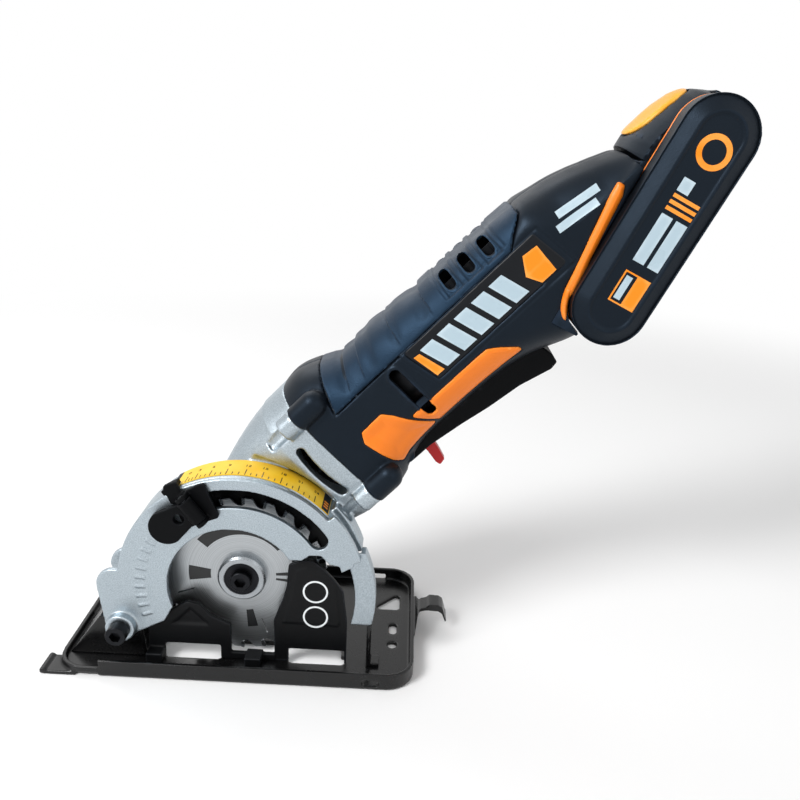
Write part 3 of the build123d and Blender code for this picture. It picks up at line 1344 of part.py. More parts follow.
with BuildPart() as shell_near:
    add(barrel_outer)
    with BuildSketch(pack_side(motor_y + pack_half_width)):
        with Locations((pack_clear_front, foot_low)):
            Rectangle(far_out, far_out, align=(Align.MIN, Align.MAX))
    extrude(amount=2 * pack_half_width, mode=Mode.SUBTRACT)
    add(hollow.part, mode=Mode.SUBTRACT)
    add(screw_posts.part)
    add(domed_bosses.part)
    for t, y in boss_places:
        with Locations(across(neck_end, t, y)):
            Cylinder(gear_screw_radius, gear_screw_tip - neck_end, align=low, mode=Mode.SUBTRACT)
    with BuildSketch(handle_side(motor_y + paddle_slot_half)):
        with Locations(((slot_from + slot_to) / 2, paddle_ceiling)):
            Rectangle(slot_to - slot_from, far_out, align=(Align.CENTER, Align.MAX))
    extrude(amount=2 * paddle_slot_half, mode=Mode.SUBTRACT)
    lug_spot = handle_at(paddle_pin_s, paddle_pin_t)
    with Locations(along_y(lug_spot.X, lug_spot.Z, motor_y - paddle_slot_half - paddle_lug)):
        Cylinder(paddle_lug_radius, paddle_lug, align=low)
        Cylinder(paddle_pin_radius, paddle_lug, align=low, mode=Mode.SUBTRACT)
    with BuildSketch(pack_side(motor_y + tower_half_neck + run_gap)):
        with Locations((tower_front - run_gap, foot_low + foot_wall + run_gap / 2)):
            Rectangle(far_out, 2 * foot_wall, align=(Align.MIN, Align.MAX))
    extrude(amount=2 * (tower_half_neck + run_gap), mode=Mode.SUBTRACT)
    with BuildSketch(pack_side(motor_y + tower_half_lip + run_gap)):
        with Locations((tower_rear, foot_low + foot_wall)):
            Rectangle(far_out, lip_high + run_gap - foot_low - foot_wall, align=(Align.MIN, Align.MIN))
    extrude(amount=2 * (tower_half_lip + run_gap), mode=Mode.SUBTRACT)
    add([grip_panel, scoop_panel, strip_panel, foot_panel, badge_panel], mode=Mode.SUBTRACT)
    with BuildSketch(handle_side(vent_start)):
        with Locations(side_vent):
            SlotOverall(side_vent_length, side_vent_width, rotation=90)
        with Locations(*grip_vents):
            SlotOverall(grip_vent_length, grip_vent_width, rotation=90)
    extrude(amount=far_out, mode=Mode.SUBTRACT)
    split(bisect_by=mid_plane, keep=Keep.BOTTOM)

with BuildPart() as body_shell_near:
    add(shell_near.part)
    with Locations(*[along_y(handle_at(s, t).X, handle_at(s, t).Z, motor_y - shell_screw_depth)
                     for s, t in shell_screw_places]):
        Cylinder(shell_screw_radius, shell_screw_depth, align=low, mode=Mode.SUBTRACT)

with BuildPart() as body_shell_far:
    mirror(shell_near.part, about=mid_plane)
    with Locations(*[along_y(handle_at(s, t).X, handle_at(s, t).Z, motor_y) for s, t in shell_screw_places]):
        Cylinder(shell_screw_radius, far_out, align=low, mode=Mode.SUBTRACT)
    with Locations(*[along_y(handle_at(s, t).X, handle_at(s, t).Z, motor_y + shell_screw_seat)
                     for s, t in shell_screw_places]):
        Cylinder(shell_screw_head + run_gap, far_out, align=low, mode=Mode.SUBTRACT)

with BuildPart() as shell_screws:
    with Locations(*[along_y(handle_at(s, t).X, handle_at(s, t).Z, motor_y - shell_screw_depth)
                     for s, t in shell_screw_places]):
        Cylinder(shell_screw_radius, shell_screw_depth + shell_screw_seat, align=low)
    with Locations(*[along_y(handle_at(s, t).X, handle_at(s, t).Z, motor_y + shell_screw_seat)
                     for s, t in shell_screw_places]):
        Cylinder(shell_screw_head, shell_screw_head_height, align=low)

with BuildPart() as gear_screws:
    for t, y in boss_places:
        with Locations(across(screw_seat, t, y)):
            Cylinder(gear_screw_radius, gear_screw_tip - screw_seat, align=low)
        with Locations(across(screw_seat - gear_screw_head_height, t, y)):
            Cylinder(gear_screw_head, gear_screw_head_height, align=low)
            Cylinder(gear_screw_radius * 0.8, gear_screw_head_height / 2, align=low, mode=Mode.SUBTRACT)

# Soft grips, orange trims and badges, each a pair
barrel_groove = barrel(groove_inset)
groove_lines = [[(s, groove_low), (s + groove_width, groove_low),
                 (s + groove_width + groove_lean, 2 * groove_low),
                 (s + groove_lean, 2 * groove_low)] for s in groove_places]
with BuildPart() as soft_grips:
    add(grip_panel)
    with BuildSketch(handle_side(vent_start)):
        with Locations(*grip_vents):
            SlotOverall(grip_vent_length, grip_vent_width, rotation=90)
    extrude(amount=far_out, mode=Mode.SUBTRACT)
    add([side_panel(line, barrel_outer, barrel_groove) for line in groove_lines], mode=Mode.SUBTRACT)
    mirror(about=mid_plane)

with BuildPart() as side_trims:
    add([scoop_panel, strip_panel])
    with BuildSketch(handle_side(motor_y)):
        with Locations(side_vent):
            SlotOverall(side_vent_length, side_vent_width, rotation=90)
    extrude(amount=far_out, mode=Mode.SUBTRACT)
    add(foot_panel)
    with BuildSketch(pack_side(motor_y)):
        with Locations((pack_clear_front, foot_low)):
            Rectangle(far_out, far_out, align=(Align.MIN, Align.MAX))
    extrude(amount=far_out, mode=Mode.SUBTRACT)
    mirror(about=mid_plane)

barrel_badge = barrel(badge_depth)
with BuildPart() as badges:
    add(badge_panel)
    add(barrel_badge, mode=Mode.INTERSECT)
    mirror(about=mid_plane)

# Paddle switch on its pin, and the red lock-off tab in it
pin_spot = handle_at(paddle_pin_s, paddle_pin_t)
tab_spot = handle_at(tab_pivot_s, tab_pivot_t)
with BuildPart() as paddle_pin:
    with Locations(along_y(pin_spot.X, pin_spot.Z, motor_y - paddle_slot_half - paddle_lug)):
        Cylinder(paddle_pin_radius, 2 * (paddle_slot_half + paddle_lug), align=low)

with BuildPart() as paddle_switch:
    with BuildSketch(handle_side(motor_y + paddle_half_width)):
        with BuildLine():
            Polyline(*paddle_line, close=True)
        make_face()
    extrude(amount=2 * paddle_half_width)
    fillet(paddle_switch.faces().filter_by(Axis.Y).edges(), paddle_edge)
    with BuildSketch(handle_side(motor_y + paddle_half_width - skin)):
        with BuildLine():
            Polyline(*paddle_hollow_line, close=True)
        make_face()
    extrude(amount=2 * (paddle_half_width - skin), mode=Mode.SUBTRACT)
    with Locations(along_y(pin_spot.X, pin_spot.Z, motor_y - paddle_half_width)):
        Cylinder(paddle_pin_radius + shaft_gap, 2 * paddle_half_width, align=low, mode=Mode.SUBTRACT)
    with BuildSketch(handle_side(motor_y + tab_half_width + run_gap)):
        Polygon(*tab_slot_line, align=None)
    extrude(amount=2 * (tab_half_width + run_gap), mode=Mode.SUBTRACT)
    with Locations(along_y(tab_spot.X, tab_spot.Z, motor_y - 2 * tab_half_width)):
        Cylinder(tab_pin_radius, 4 * tab_half_width, align=low)

with BuildPart() as lock_off_tab:
    with BuildSketch(handle_side(motor_y + tab_half_width)):
        with BuildLine():
            FilletPolyline(*tab_line, radius=tab_corner, close=True)
        make_face()
    extrude(amount=2 * tab_half_width)
    with Locations(along_y(tab_spot.X, tab_spot.Z, motor_y - tab_half_width)):
        Cylinder(tab_pin_radius + shaft_gap, 2 * tab_half_width, align=low, mode=Mode.SUBTRACT)

# Switch and battery contacts inside the handle
with BuildPart() as switch_block:
    with BuildSketch(handle_side(motor_y + switch_half_width)):
        with Locations(((switch_from + switch_to) / 2, (switch_low + switch_high) / 2)):
            RectangleRounded(switch_to - switch_from, switch_high - switch_low, switch_corner)
    extrude(amount=2 * switch_half_width)

foot_top = foot_low + foot_wall
with BuildPart() as terminal_block:
    with BuildSketch(pack_side(motor_y + terminal_half_width)):
        with Locations((terminal_from, foot_top)):
            Rectangle(terminal_to - terminal_from, terminal_height, align=(Align.MIN, Align.MIN))
    extrude(amount=2 * terminal_half_width)

contact_places = [motor_y + contact_pitch * place for place in (-1, 0, 1)]
with BuildPart() as terminal_blades:
    for y in contact_places:
        with BuildSketch(pack_side(y + contact_thickness / 2)):
            with Locations((terminal_to, lip_low)):
                Rectangle(contact_tip - terminal_to, lip_thickness - run_gap, align=(Align.MIN, Align.MIN))
        extrude(amount=contact_thickness)

# Battery pack: a middle piece with the slide-in tower, two rings, two caps and the cells
pack_half = pack_height / 2
pack_middle = pack_length / 2 - pack_low
with BuildPart() as pack_core:
    with BuildSketch(pack_side(motor_y + ring_offset - ring_width / 2)):
        with Locations((pack_middle, 0)):
            SlotOverall(pack_length, pack_height)
        with BuildLine():
            Polyline(*nose_base)
            Spline(nose_base[-1], *nose_crown, nose_base[0])
        make_face()
    extrude(amount=2 * ring_offset - ring_width)
    with BuildSketch(pack_side(motor_y + tower_half_neck)):
        with Locations((tower_front, pack_half - pack_wall)):
            Rectangle(tower_rear - tower_front, lip_high - pack_half + pack_wall,
                      align=(Align.MIN, Align.MIN))
    extrude(amount=2 * tower_half_neck)
    with BuildSketch(pack_side(motor_y + tower_half_lip)):
        with Locations((tower_front, lip_low)):
            Rectangle(tower_rear - tower_front, lip_thickness, align=(Align.MIN, Align.MIN))
    extrude(amount=2 * tower_half_lip)
    with BuildSketch(pack_side(motor_y + ring_offset)):
        with Locations((pack_middle, 0)):
            SlotOverall(pack_length - 2 * pack_wall, pack_height - 2 * pack_wall)
    extrude(amount=2 * ring_offset, mode=Mode.SUBTRACT)
    for y in contact_places:
        with BuildSketch(pack_side(y + contact_thickness / 2 + run_gap)):
            with Locations((tower_front - cut_over, lip_low - run_gap)):
                Rectangle(contact_tip + cut_over + run_gap - tower_front, lip_high,
                          align=(Align.MIN, Align.MIN))
        extrude(amount=contact_thickness + 2 * run_gap, mode=Mode.SUBTRACT)
    with BuildSketch(pack_side(motor_y + button_half_width + run_gap)):
        with Locations(((button_front + button_rear) / 2, button_low - button_travel - run_gap)):
            Rectangle(button_rear - button_front + 2 * run_gap, far_out, align=(Align.CENTER, Align.MIN))
    extrude(amount=2 * (button_half_width + run_gap), mode=Mode.SUBTRACT)

with BuildPart() as release_button:
    with BuildSketch(pack_side(motor_y + button_half_width)):
        Polygon((button_front, button_low), (button_rear, button_low),
                *[(along, high + button_proud) for along, high in button_line], align=None)
    extrude(amount=2 * button_half_width)
    fillet(release_button.faces().filter_by(Axis.Y).edges().filter_by(
        lambda edge: (edge @ 0.5 - Vector(pack_x, (edge @ 0.5).Y, pack_z)).dot(pack_up) > button_low + 2),
        button_edge)

with BuildPart() as pack_rings:
    for y in (motor_y - ring_offset + ring_width / 2, motor_y + ring_offset + ring_width / 2):
        with BuildSketch(pack_side(y)):
            with Locations((pack_middle, 0)):
                SlotOverall(pack_length, pack_height)
            with Locations((pack_middle, 0)):
                SlotOverall(pack_length - 2 * pack_wall, pack_height - 2 * pack_wall, mode=Mode.SUBTRACT)
        extrude(amount=ring_width)

with BuildPart() as pack_caps:
    with BuildSketch(pack_side(motor_y - cap_near)):
        with Locations((pack_middle, 0)):
            SlotOverall(pack_length, pack_height)
    extrude(amount=pack_half_width - cap_near)
    fillet(pack_caps.faces().sort_by(Axis.Y)[0].edges(), pack_edge)
    with BuildSketch(pack_side(motor_y - cap_near)):
        with Locations((pack_middle, 0)):
            SlotOverall(pack_length - 2 * pack_wall, pack_height - 2 * pack_wall)
    extrude(amount=pack_half_width - cap_near - pack_wall, mode=Mode.SUBTRACT)
    with BuildSketch(pack_side(motor_y - pack_half_width + panel_depth)):
        with Locations((pack_middle, 0)):
            SlotOverall(pack_length - 4 * pack_edge, pack_height - 4 * pack_edge)
    extrude(amount=panel_depth, mode=Mode.SUBTRACT)
    mirror(about=mid_plane)

with BuildPart() as cells:
    for place in range(cell_count):
        along = (place - (cell_count - 1) / 2) * (2 * cell_radius + run_gap)
        centre = Vector(pack_x, motor_y - cell_length / 2, pack_z) + pack_dir * along
        with Locations(Plane(origin=centre, x_dir=(1, 0, 0), z_dir=(0, 1, 0))):
            Cylinder(cell_radius, cell_length, align=low)

pieces = {
    "base_plate": base_plate, "pivot_bracket": pivot_bracket, "bracket_rivets": bracket_rivets,
    "pivot_bolt": pivot_bolt, "pivot_nut": pivot_nut, "plunge_spring": plunge_spring,
    "lower_shroud": lower_shroud, "shroud_screws": shroud_screws, "rear_guard": rear_guard,
    "guard_bracket": guard_bracket, "gear_case": gear_case, "guard_plate": guard_plate,
    "depth_scale": depth_scale, "depth_slider": depth_slider, "clamp_nut": clamp_nut, "lever_pin": lever_pin,
    "depth_lever": depth_lever, "spindle": spindle, "inner_flange": inner_flange,
    "outer_flange": outer_flange, "blade_bolt": blade_bolt, "saw_blade": saw_blade,
    "carbide_tips": carbide_tips, "spindle_gear": spindle_gear, "bearings": bearings,
    "bearing_retainer": bearing_retainer, "drive_bushes": drive_bushes, "idler_shaft": idler_shaft,
    "bevel_gear": bevel_gear, "motor_pinion": motor_pinion, "motor_shaft": motor_shaft,
    "gear_cover": gear_cover, "cover_screws": cover_screws, "lock_button": lock_button,
    "motor_can": motor_can, "motor_magnets": motor_magnets, "motor_end_bell": motor_end_bell,
    "motor_brushes": motor_brushes, "rotor_core": rotor_core, "windings": windings,
    "commutator": commutator, "cooling_fan": cooling_fan, "body_shell_near": body_shell_near,
    "body_shell_far": body_shell_far, "shell_screws": shell_screws, "gear_screws": gear_screws,
    "soft_grips": soft_grips, "side_trims": side_trims, "badges": badges, "paddle_pin": paddle_pin,
    "paddle_switch": paddle_switch, "lock_off_tab": lock_off_tab, "switch_block": switch_block,
    "terminal_block": terminal_block, "terminal_blades": terminal_blades, "pack_core": pack_core,
    "release_button": release_button, "pack_rings": pack_rings, "pack_caps": pack_caps, "cells": cells,
}
os.makedirs("parts", exist_ok=True)
for label, piece in pieces.items():
    piece.part.label = label
    export_step(piece.part, f"parts/{label}.step")
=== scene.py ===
"""Looks of a compact battery plunge saw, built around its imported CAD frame."""

import json
import logging
import math
from dataclasses import dataclass
from enum import Enum
from typing import Any, Callable, Optional, Sequence

import bmesh
import bpy
import numpy as np
from mathutils import Matrix, Vector
from mathutils.bvhtree import BVHTree

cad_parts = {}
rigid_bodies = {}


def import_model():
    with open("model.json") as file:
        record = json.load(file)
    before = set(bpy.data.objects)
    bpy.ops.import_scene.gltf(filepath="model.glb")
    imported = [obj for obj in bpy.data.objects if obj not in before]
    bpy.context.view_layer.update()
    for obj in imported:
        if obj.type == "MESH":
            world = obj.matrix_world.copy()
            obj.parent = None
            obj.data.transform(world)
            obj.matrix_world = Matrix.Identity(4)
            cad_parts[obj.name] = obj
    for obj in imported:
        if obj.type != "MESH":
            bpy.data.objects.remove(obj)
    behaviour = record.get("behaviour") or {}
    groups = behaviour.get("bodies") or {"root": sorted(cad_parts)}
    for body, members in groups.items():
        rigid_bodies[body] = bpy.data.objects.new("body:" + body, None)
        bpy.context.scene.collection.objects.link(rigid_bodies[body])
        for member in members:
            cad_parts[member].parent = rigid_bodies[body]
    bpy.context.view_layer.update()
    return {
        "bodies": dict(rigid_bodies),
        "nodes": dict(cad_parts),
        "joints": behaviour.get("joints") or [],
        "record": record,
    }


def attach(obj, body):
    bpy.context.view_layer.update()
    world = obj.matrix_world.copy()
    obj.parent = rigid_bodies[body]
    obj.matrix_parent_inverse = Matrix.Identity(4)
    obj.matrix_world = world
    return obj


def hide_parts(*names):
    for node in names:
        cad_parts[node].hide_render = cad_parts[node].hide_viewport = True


LOG = logging.getLogger("plunge_saw")
MM = 0.001
# A length in metres under which points of a CAD mesh are one point.
WELD = 0.001 * MM
# The triangles that a piece keeps at most, unless it says otherwise.
MOST_FACES = 90000
# A number small enough to keep a division safe and change nothing else.
TINY = 1e-6
# How far from the middle plane points start when they drop on a side, and how far in they look over a hole.
DROP_FROM_MM, HOLE_REACH_MM = 60.0, 33.0
# The part of a noise's range that most of its values lie in, and a wider part that nearly all lie in.
NOISE_CORE = {"From Min": 0.3, "From Max": 0.7}
NOISE_SPAN = {"From Min": 0.25, "From Max": 0.75}
# The sockets of a Mix node for colours: its factor, its two colours and its output.
FACTOR, FIRST, SECOND, MIXED = 0, 6, 7, 2
WHITE = (1.0, 1.0, 1.0, 1.0)

Object = bpy.types.Object
Material = bpy.types.Material
Socket = bpy.types.NodeSocket
Tree = bpy.types.NodeTree
Outline = Sequence[tuple[float, float]]
Placer = Callable[[np.ndarray, np.ndarray, float], np.ndarray]


class Axes(Enum):
    """Sets of axes on the saw: an origin in millimetres and a tilt about Y in degrees."""

    OBJECT = (0.0, 0.0, 0.0, 0.0)
    ARBOR = (0.0, 0.0, 45.0, 0.0)
    HANDLE = (0.0, 30.0, 45.0, 47.0)
    PACK = (180.5, 30.0, 225.5, 64.5)

    @property
    def origin(self) -> np.ndarray:
        """Where the axes meet, in millimetres."""
        return np.array(self.value[:3])

    @property
    def tilt(self) -> float:
        """The tilt of the first axis above +X, in radians."""
        return math.radians(self.value[3])

    def split(self, points: np.ndarray) -> tuple[np.ndarray, np.ndarray, np.ndarray]:
        """Measures points along these axes.

        Args:
            points: Rows of places in metres.

        Returns:
            The distances along, to the side and up, in millimetres.
        """
        x, y, z = (points / MM - self.origin).T
        cosine, sine = math.cos(self.tilt), math.sin(self.tilt)
        return x * cosine + z * sine, y, z * cosine - x * sine

    def join(self, along: np.ndarray, side: np.ndarray, up: np.ndarray) -> np.ndarray:
        """Turns distances along these axes back into places.

        Args:
            along: Distances along the first axis, in millimetres.
            side: Distances to +Y.
            up: Distances along the third axis.

        Returns:
            Rows of places in metres.
        """
        cosine, sine = math.cos(self.tilt), math.sin(self.tilt)
        rows = np.stack(np.broadcast_arrays(along * cosine - up * sine, side, along * sine + up * cosine), -1)
        return (rows + self.origin) * MM

    def upward(self, normals: np.ndarray) -> np.ndarray:
        """How far each unit normal points along the third axis, from -1 to 1."""
        return normals[:, 2] * math.cos(self.tilt) - normals[:, 0] * math.sin(self.tilt)


class Side(Enum):
    """The saw's two sides, by their direction along Y. The near side faces the camera."""

    NEAR = -1.0
    FAR = 1.0

    def named(self, piece: str) -> str:
        """A piece's name with this side's name behind it."""
        return f"{piece}_{self.name.lower()}"

    def flat(self, axes: Axes, out_mm: float) -> Placer:
        """Makes a placer for a flat face on this side.

        Args:
            axes: The axes that the two surface coordinates run along and up.
            out_mm: The face's distance from the axes' middle plane.

        Returns:
            The placer.
        """
        def put(u: np.ndarray, v: np.ndarray, lift: float) -> np.ndarray:
            """Puts points on the face and lifts them outward."""
            return axes.join(u, np.full_like(u, self.value * (out_mm + lift)), v)

        return put

    def onto(self, piece: Object) -> Placer:
        """Makes a placer that puts handle coordinates on this side of a piece.

        Args:
            piece: A mesh piece in the row frame.

        Returns:
            The placer, which takes distances along and up the handle and a height.
        """
        tree = BVHTree.FromPolygons([point.co for point in piece.data.vertices],
                                    [face.vertices for face in piece.data.polygons])
        inward = Vector((0.0, -self.value, 0.0))

        def put(u: np.ndarray, v: np.ndarray, lift: float) -> np.ndarray:
            """Drops points on the surface from outside, or next to a hole, and lifts them by the height.

            Args:
                u: Distances along the handle.
                v: Distances up.
                lift: The height above the surface.

            Returns:
                Rows of places in metres.
            """
            found = Axes.HANDLE.join(u, np.full_like(u, self.value * DROP_FROM_MM), v)
            for point in found:
                start = Vector(point)
                hit = tree.ray_cast(start, inward)[0]
                hit = hit or tree.find_nearest(start + inward * (HOLE_REACH_MM * MM))[0]
                point[1] = hit.y + self.value * lift * MM
            return found

        return put


@dataclass(frozen=True)
class Softness:
    """How a CAD node is softened: the new mesh's spacing, its smoothing passes and its most triangles."""

    voxel_mm: float
    passes: int
    faces: int = MOST_FACES


def to_linear(code: str) -> tuple[float, float, float, float]:
    """Turns an sRGB hex code into linear colour.

    Args:
        code: Six hex digits after a hash.

    Returns:
        Red, green, blue and an alpha of one.
    """
    channels = [int(code[start:start + 2], 16) / 255.0 for start in (1, 3, 5)]
    red, green, blue = (c / 12.92 if c <= 0.04045 else ((c + 0.055) / 1.055) ** 2.4 for c in channels)
    return (red, green, blue, 1.0)


def per_mm(size: float) -> float:
    """The texture scale at which one lump of a pattern is about size millimetres across."""
    return 1.0 / (size * MM)


def add_node(tree: Tree, kind: str, inputs: Optional[dict] = None, output: Any = 0,
             **settings: Any) -> Socket:
    """Adds a shader node with its settings and links.

    Args:
        tree: The node tree that takes it.
        kind: The node's type name after ShaderNode.
        inputs: Values or output sockets, by input name or index.
        output: The name or index of the output that is wanted.
        **settings: Attributes of the node.

    Returns:
        The wanted output socket, or the first input of a node with no output.
    """
    made = tree.nodes.new("ShaderNode" + kind)
    for name, value in settings.items():
        setattr(made, name, value)
    for key, value in (inputs or {}).items():
        if isinstance(value, Socket):
            tree.links.new(value, made.inputs[key])
        else:
            made.inputs[key].default_value = value
    return made.outputs[output] if made.outputs else made.inputs[0]


class Surface:
    """One material in the making: its nodes and its Principled shader."""

    def __init__(self, name: str) -> None:
        """Starts a material with only a Principled shader and its output.

        Args:
            name: What the material is.
        """
        self.material = bpy.data.materials.new(name)
        self.material.use_nodes = True
        self.tree = self.material.node_tree
        self.tree.nodes.clear()
        shine = add_node(self.tree, "BsdfPrincipled")
        self.shader = shine.node
        add_node(self.tree, "OutputMaterial", {"Surface": shine})

    def add(self, kind: str, inputs: Optional[dict] = None, output: Any = 0, **settings: Any) -> Socket:
        """Adds a node to this material, as add_node does."""
        return add_node(self.tree, kind, inputs, output, **settings)

    def laid_out(self, axes: Axes) -> Socket:
        """Gives coordinates in metres along a set of axes.

        Args:
            axes: The axes wanted.

        Returns:
            The vector output.
        """
        where = self.add("TexCoord", output="Object")
        return self.add("Mapping", {"Vector": where, "Location": axes.origin * MM,
                                    "Rotation": (0.0, -axes.tilt, 0.0)}, vector_type="TEXTURE")

    def finish(self, sockets: dict, relief: Optional[Socket] = None, depth_mm: float = 0.0) -> Material:
        """Sets or links the shader's sockets and ends the material.

        Args:
            sockets: Values or output sockets by the shader's socket names.
            relief: The height of a surface relief.
            depth_mm: The relief's real depth.

        Returns:
            The material.
        """
        if relief is not None:
            sockets = dict(sockets, Normal=self.add("Bump", {"Height": relief, "Distance": depth_mm * MM}))
        for name, value in sockets.items():
            if isinstance(value, Socket):
                self.tree.links.new(value, self.shader.inputs[name])
            else:
                self.shader.inputs[name].default_value = value
        return self.material


@dataclass(frozen=True)
class Moulded:
    """A moulded plastic or rubber with a spark-eroded grain and slightly rubbed edges."""

    name: str
    colour: str
    rubbed: str
    roughness: float
    # A spark-eroded grain is nearer 0.1 mm, too fine to show here, so it is drawn coarser.
    grain_mm: float = 0.5
    grain_depth_mm: float = 0.03
    sheen: float = 0.0
    shine: str = "#ffffff"
    level: float = 0.2
    blotch_mm: float = 9.0
    spread: float = 0.14
    edge: tuple = (0.515, 0.57)

    def make(self) -> Material:
        """Builds the material.

        Returns:
            The material.
        """
        surface = Surface(self.name)
        where = surface.laid_out(Axes.OBJECT)
        blotch = surface.add("TexNoise", {"Vector": where, "Scale": per_mm(self.blotch_mm), "Detail": 3.0})
        fine = surface.add("TexNoise", {"Vector": where, "Scale": per_mm(self.grain_mm), "Detail": 2.0})
        bend = surface.add("NewGeometry", output="Pointiness")
        edge = surface.add("MapRange", {"Value": bend, "From Min": self.edge[0], "From Max": self.edge[1]})
        patchy = surface.add("MapRange", {"Value": blotch, **NOISE_CORE})
        worn = surface.add("Math", {0: edge, 1: patchy}, operation="MULTIPLY")
        colour = surface.add("Mix", {FACTOR: worn, FIRST: to_linear(self.colour),
                                     SECOND: to_linear(self.rubbed)}, MIXED, data_type="RGBA")
        rough = surface.add("MapRange", {"Value": blotch, **NOISE_SPAN,
                                         "To Min": self.roughness - self.spread / 2,
                                         "To Max": self.roughness + self.spread / 2})
        return surface.finish({"Base Color": colour, "Roughness": rough, "Sheen Weight": self.sheen,
                               "Specular Tint": to_linear(self.shine), "Specular IOR Level": self.level},
                              fine, self.grain_depth_mm)


@dataclass(frozen=True)
class CastMetal:
    """A die-cast metal with the fine sparkle that a blasted skin gives, and painted shade darkening its
    hollows.
    """

    name: str
    colour: str
    shade: str
    # The colour of the painted shade laid into the hollows.
    hollow_shade: str
    roughness: float
    # A blasted grain is nearer 0.1 mm, too fine to show here, so it is drawn coarser.
    grain_mm: float = 0.45
    grain_depth_mm: float = 0.05
    cloud_mm: float = 14.0
    spread: float = 0.16
    # The pointiness range over which the painted shade comes in, and the share of it that the deepest hollows
    # take.
    hollow: tuple = (0.485, 0.43)
    hollow_shade_share: float = 0.55

    def make(self) -> Material:
        """Builds the material.

        Returns:
            The material.
        """
        surface = Surface(self.name)
        where = surface.laid_out(Axes.OBJECT)
        fine = surface.add("TexNoise", {"Vector": where, "Scale": per_mm(self.grain_mm), "Detail": 3.0})
        cloud = surface.add("TexNoise", {"Vector": where, "Scale": per_mm(self.cloud_mm), "Detail": 3.0})
        speck = surface.add("MapRange", {"Value": fine, **NOISE_CORE})
        skin = surface.add("Mix", {FACTOR: speck, FIRST: to_linear(self.shade),
                                   SECOND: to_linear(self.colour)}, MIXED, data_type="RGBA")
        # Painted shade: a dark colour is mixed in where the surface bends inward, darkening hollows as shade
        # would.
        bend = surface.add("NewGeometry", output="Pointiness")
        hollow = surface.add("MapRange", {"Value": bend, "From Min": self.hollow[0],
                                          "From Max": self.hollow[1], "To Max": self.hollow_shade_share})
        hollow_shaded = surface.add("Mix", {FACTOR: hollow, FIRST: skin,
                                    SECOND: to_linear(self.hollow_shade)}, MIXED, data_type="RGBA")
        rough = surface.add("MapRange", {"Value": cloud, **NOISE_SPAN,
                                         "To Min": self.roughness - self.spread / 2,
                                         "To Max": self.roughness + self.spread / 2})
        return surface.finish({"Base Color": hollow_shaded, "Metallic": 1.0, "Roughness": rough},
                              fine, self.grain_depth_mm)


@dataclass(frozen=True)
class Enamel:
    """Stoving enamel on pressed steel: glossy, with a slight orange peel and rubbed edges."""

    name: str
    colour: str
    rubbed: str
    roughness: float
    peel_mm: float = 1.6
    peel_depth_mm: float = 0.02
    level: float = 0.4
    smear_mm: float = 18.0
    flake_mm: float = 2.5
    edge: tuple = (0.54, 0.6)
    flaked: tuple = (0.5, 0.64)
    wiped: float = 0.07
    smeared: float = 0.12

    def make(self) -> Material:
        """Builds the material.

        Returns:
            The material.
        """
        surface = Surface(self.name)
        where = surface.laid_out(Axes.OBJECT)
        smear = surface.add("TexNoise", {"Vector": where, "Scale": per_mm(self.smear_mm), "Detail": 4.0})
        flake = surface.add("TexNoise", {"Vector": where, "Scale": per_mm(self.flake_mm), "Detail": 4.0})
        peel = surface.add("TexNoise", {"Vector": where, "Scale": per_mm(self.peel_mm), "Detail": 1.0})
        bend = surface.add("NewGeometry", output="Pointiness")
        edge = surface.add("MapRange", {"Value": bend, "From Min": self.edge[0], "From Max": self.edge[1]})
        chance = surface.add("MapRange", {"Value": flake, "From Min": self.flaked[0],
                                          "From Max": self.flaked[1]})
        worn = surface.add("Math", {0: edge, 1: chance}, operation="MULTIPLY")
        colour = surface.add("Mix", {FACTOR: worn, FIRST: to_linear(self.colour),
                                     SECOND: to_linear(self.rubbed)}, MIXED, data_type="RGBA")
        rough = surface.add("MapRange", {"Value": smear, **NOISE_CORE,
                                         "To Min": self.roughness - self.wiped,
                                         "To Max": self.roughness + self.smeared})
        return surface.finish({"Base Color": colour, "Roughness": rough, "Specular IOR Level": self.level},
                              peel, self.peel_depth_mm)


@dataclass(frozen=True)
class Machined:
    """A turned, ground or plated metal with fine lines from the tool."""

    name: str
    colour: str
    shade: str
    roughness: float
    # Tool lines are nearer 0.05 mm apart, too fine to show here, so they are drawn coarser.
    line_mm: float = 0.35
    line_depth_mm: float = 0.01
    cloud_mm: float = 6.0
    bright: float = 0.08
    dull: float = 0.1

    def make(self) -> Material:
        """Builds the material.

        Returns:
            The material.
        """
        surface = Surface(self.name)
        where = surface.laid_out(Axes.OBJECT)
        lines = surface.add("TexNoise", {"Vector": where, "Scale": per_mm(self.line_mm), "Detail": 2.0})
        cloud = surface.add("TexNoise", {"Vector": where, "Scale": per_mm(self.cloud_mm), "Detail": 3.0})
        colour = surface.add("Mix", {FACTOR: cloud, FIRST: to_linear(self.shade),
                                     SECOND: to_linear(self.colour)}, MIXED, data_type="RGBA")
        rough = surface.add("MapRange", {"Value": lines, **NOISE_SPAN,
                                         "To Min": self.roughness - self.bright,
                                         "To Max": self.roughness + self.dull})
        return surface.finish({"Base Color": colour, "Metallic": 1.0, "Roughness": rough},
                              lines, self.line_depth_mm)


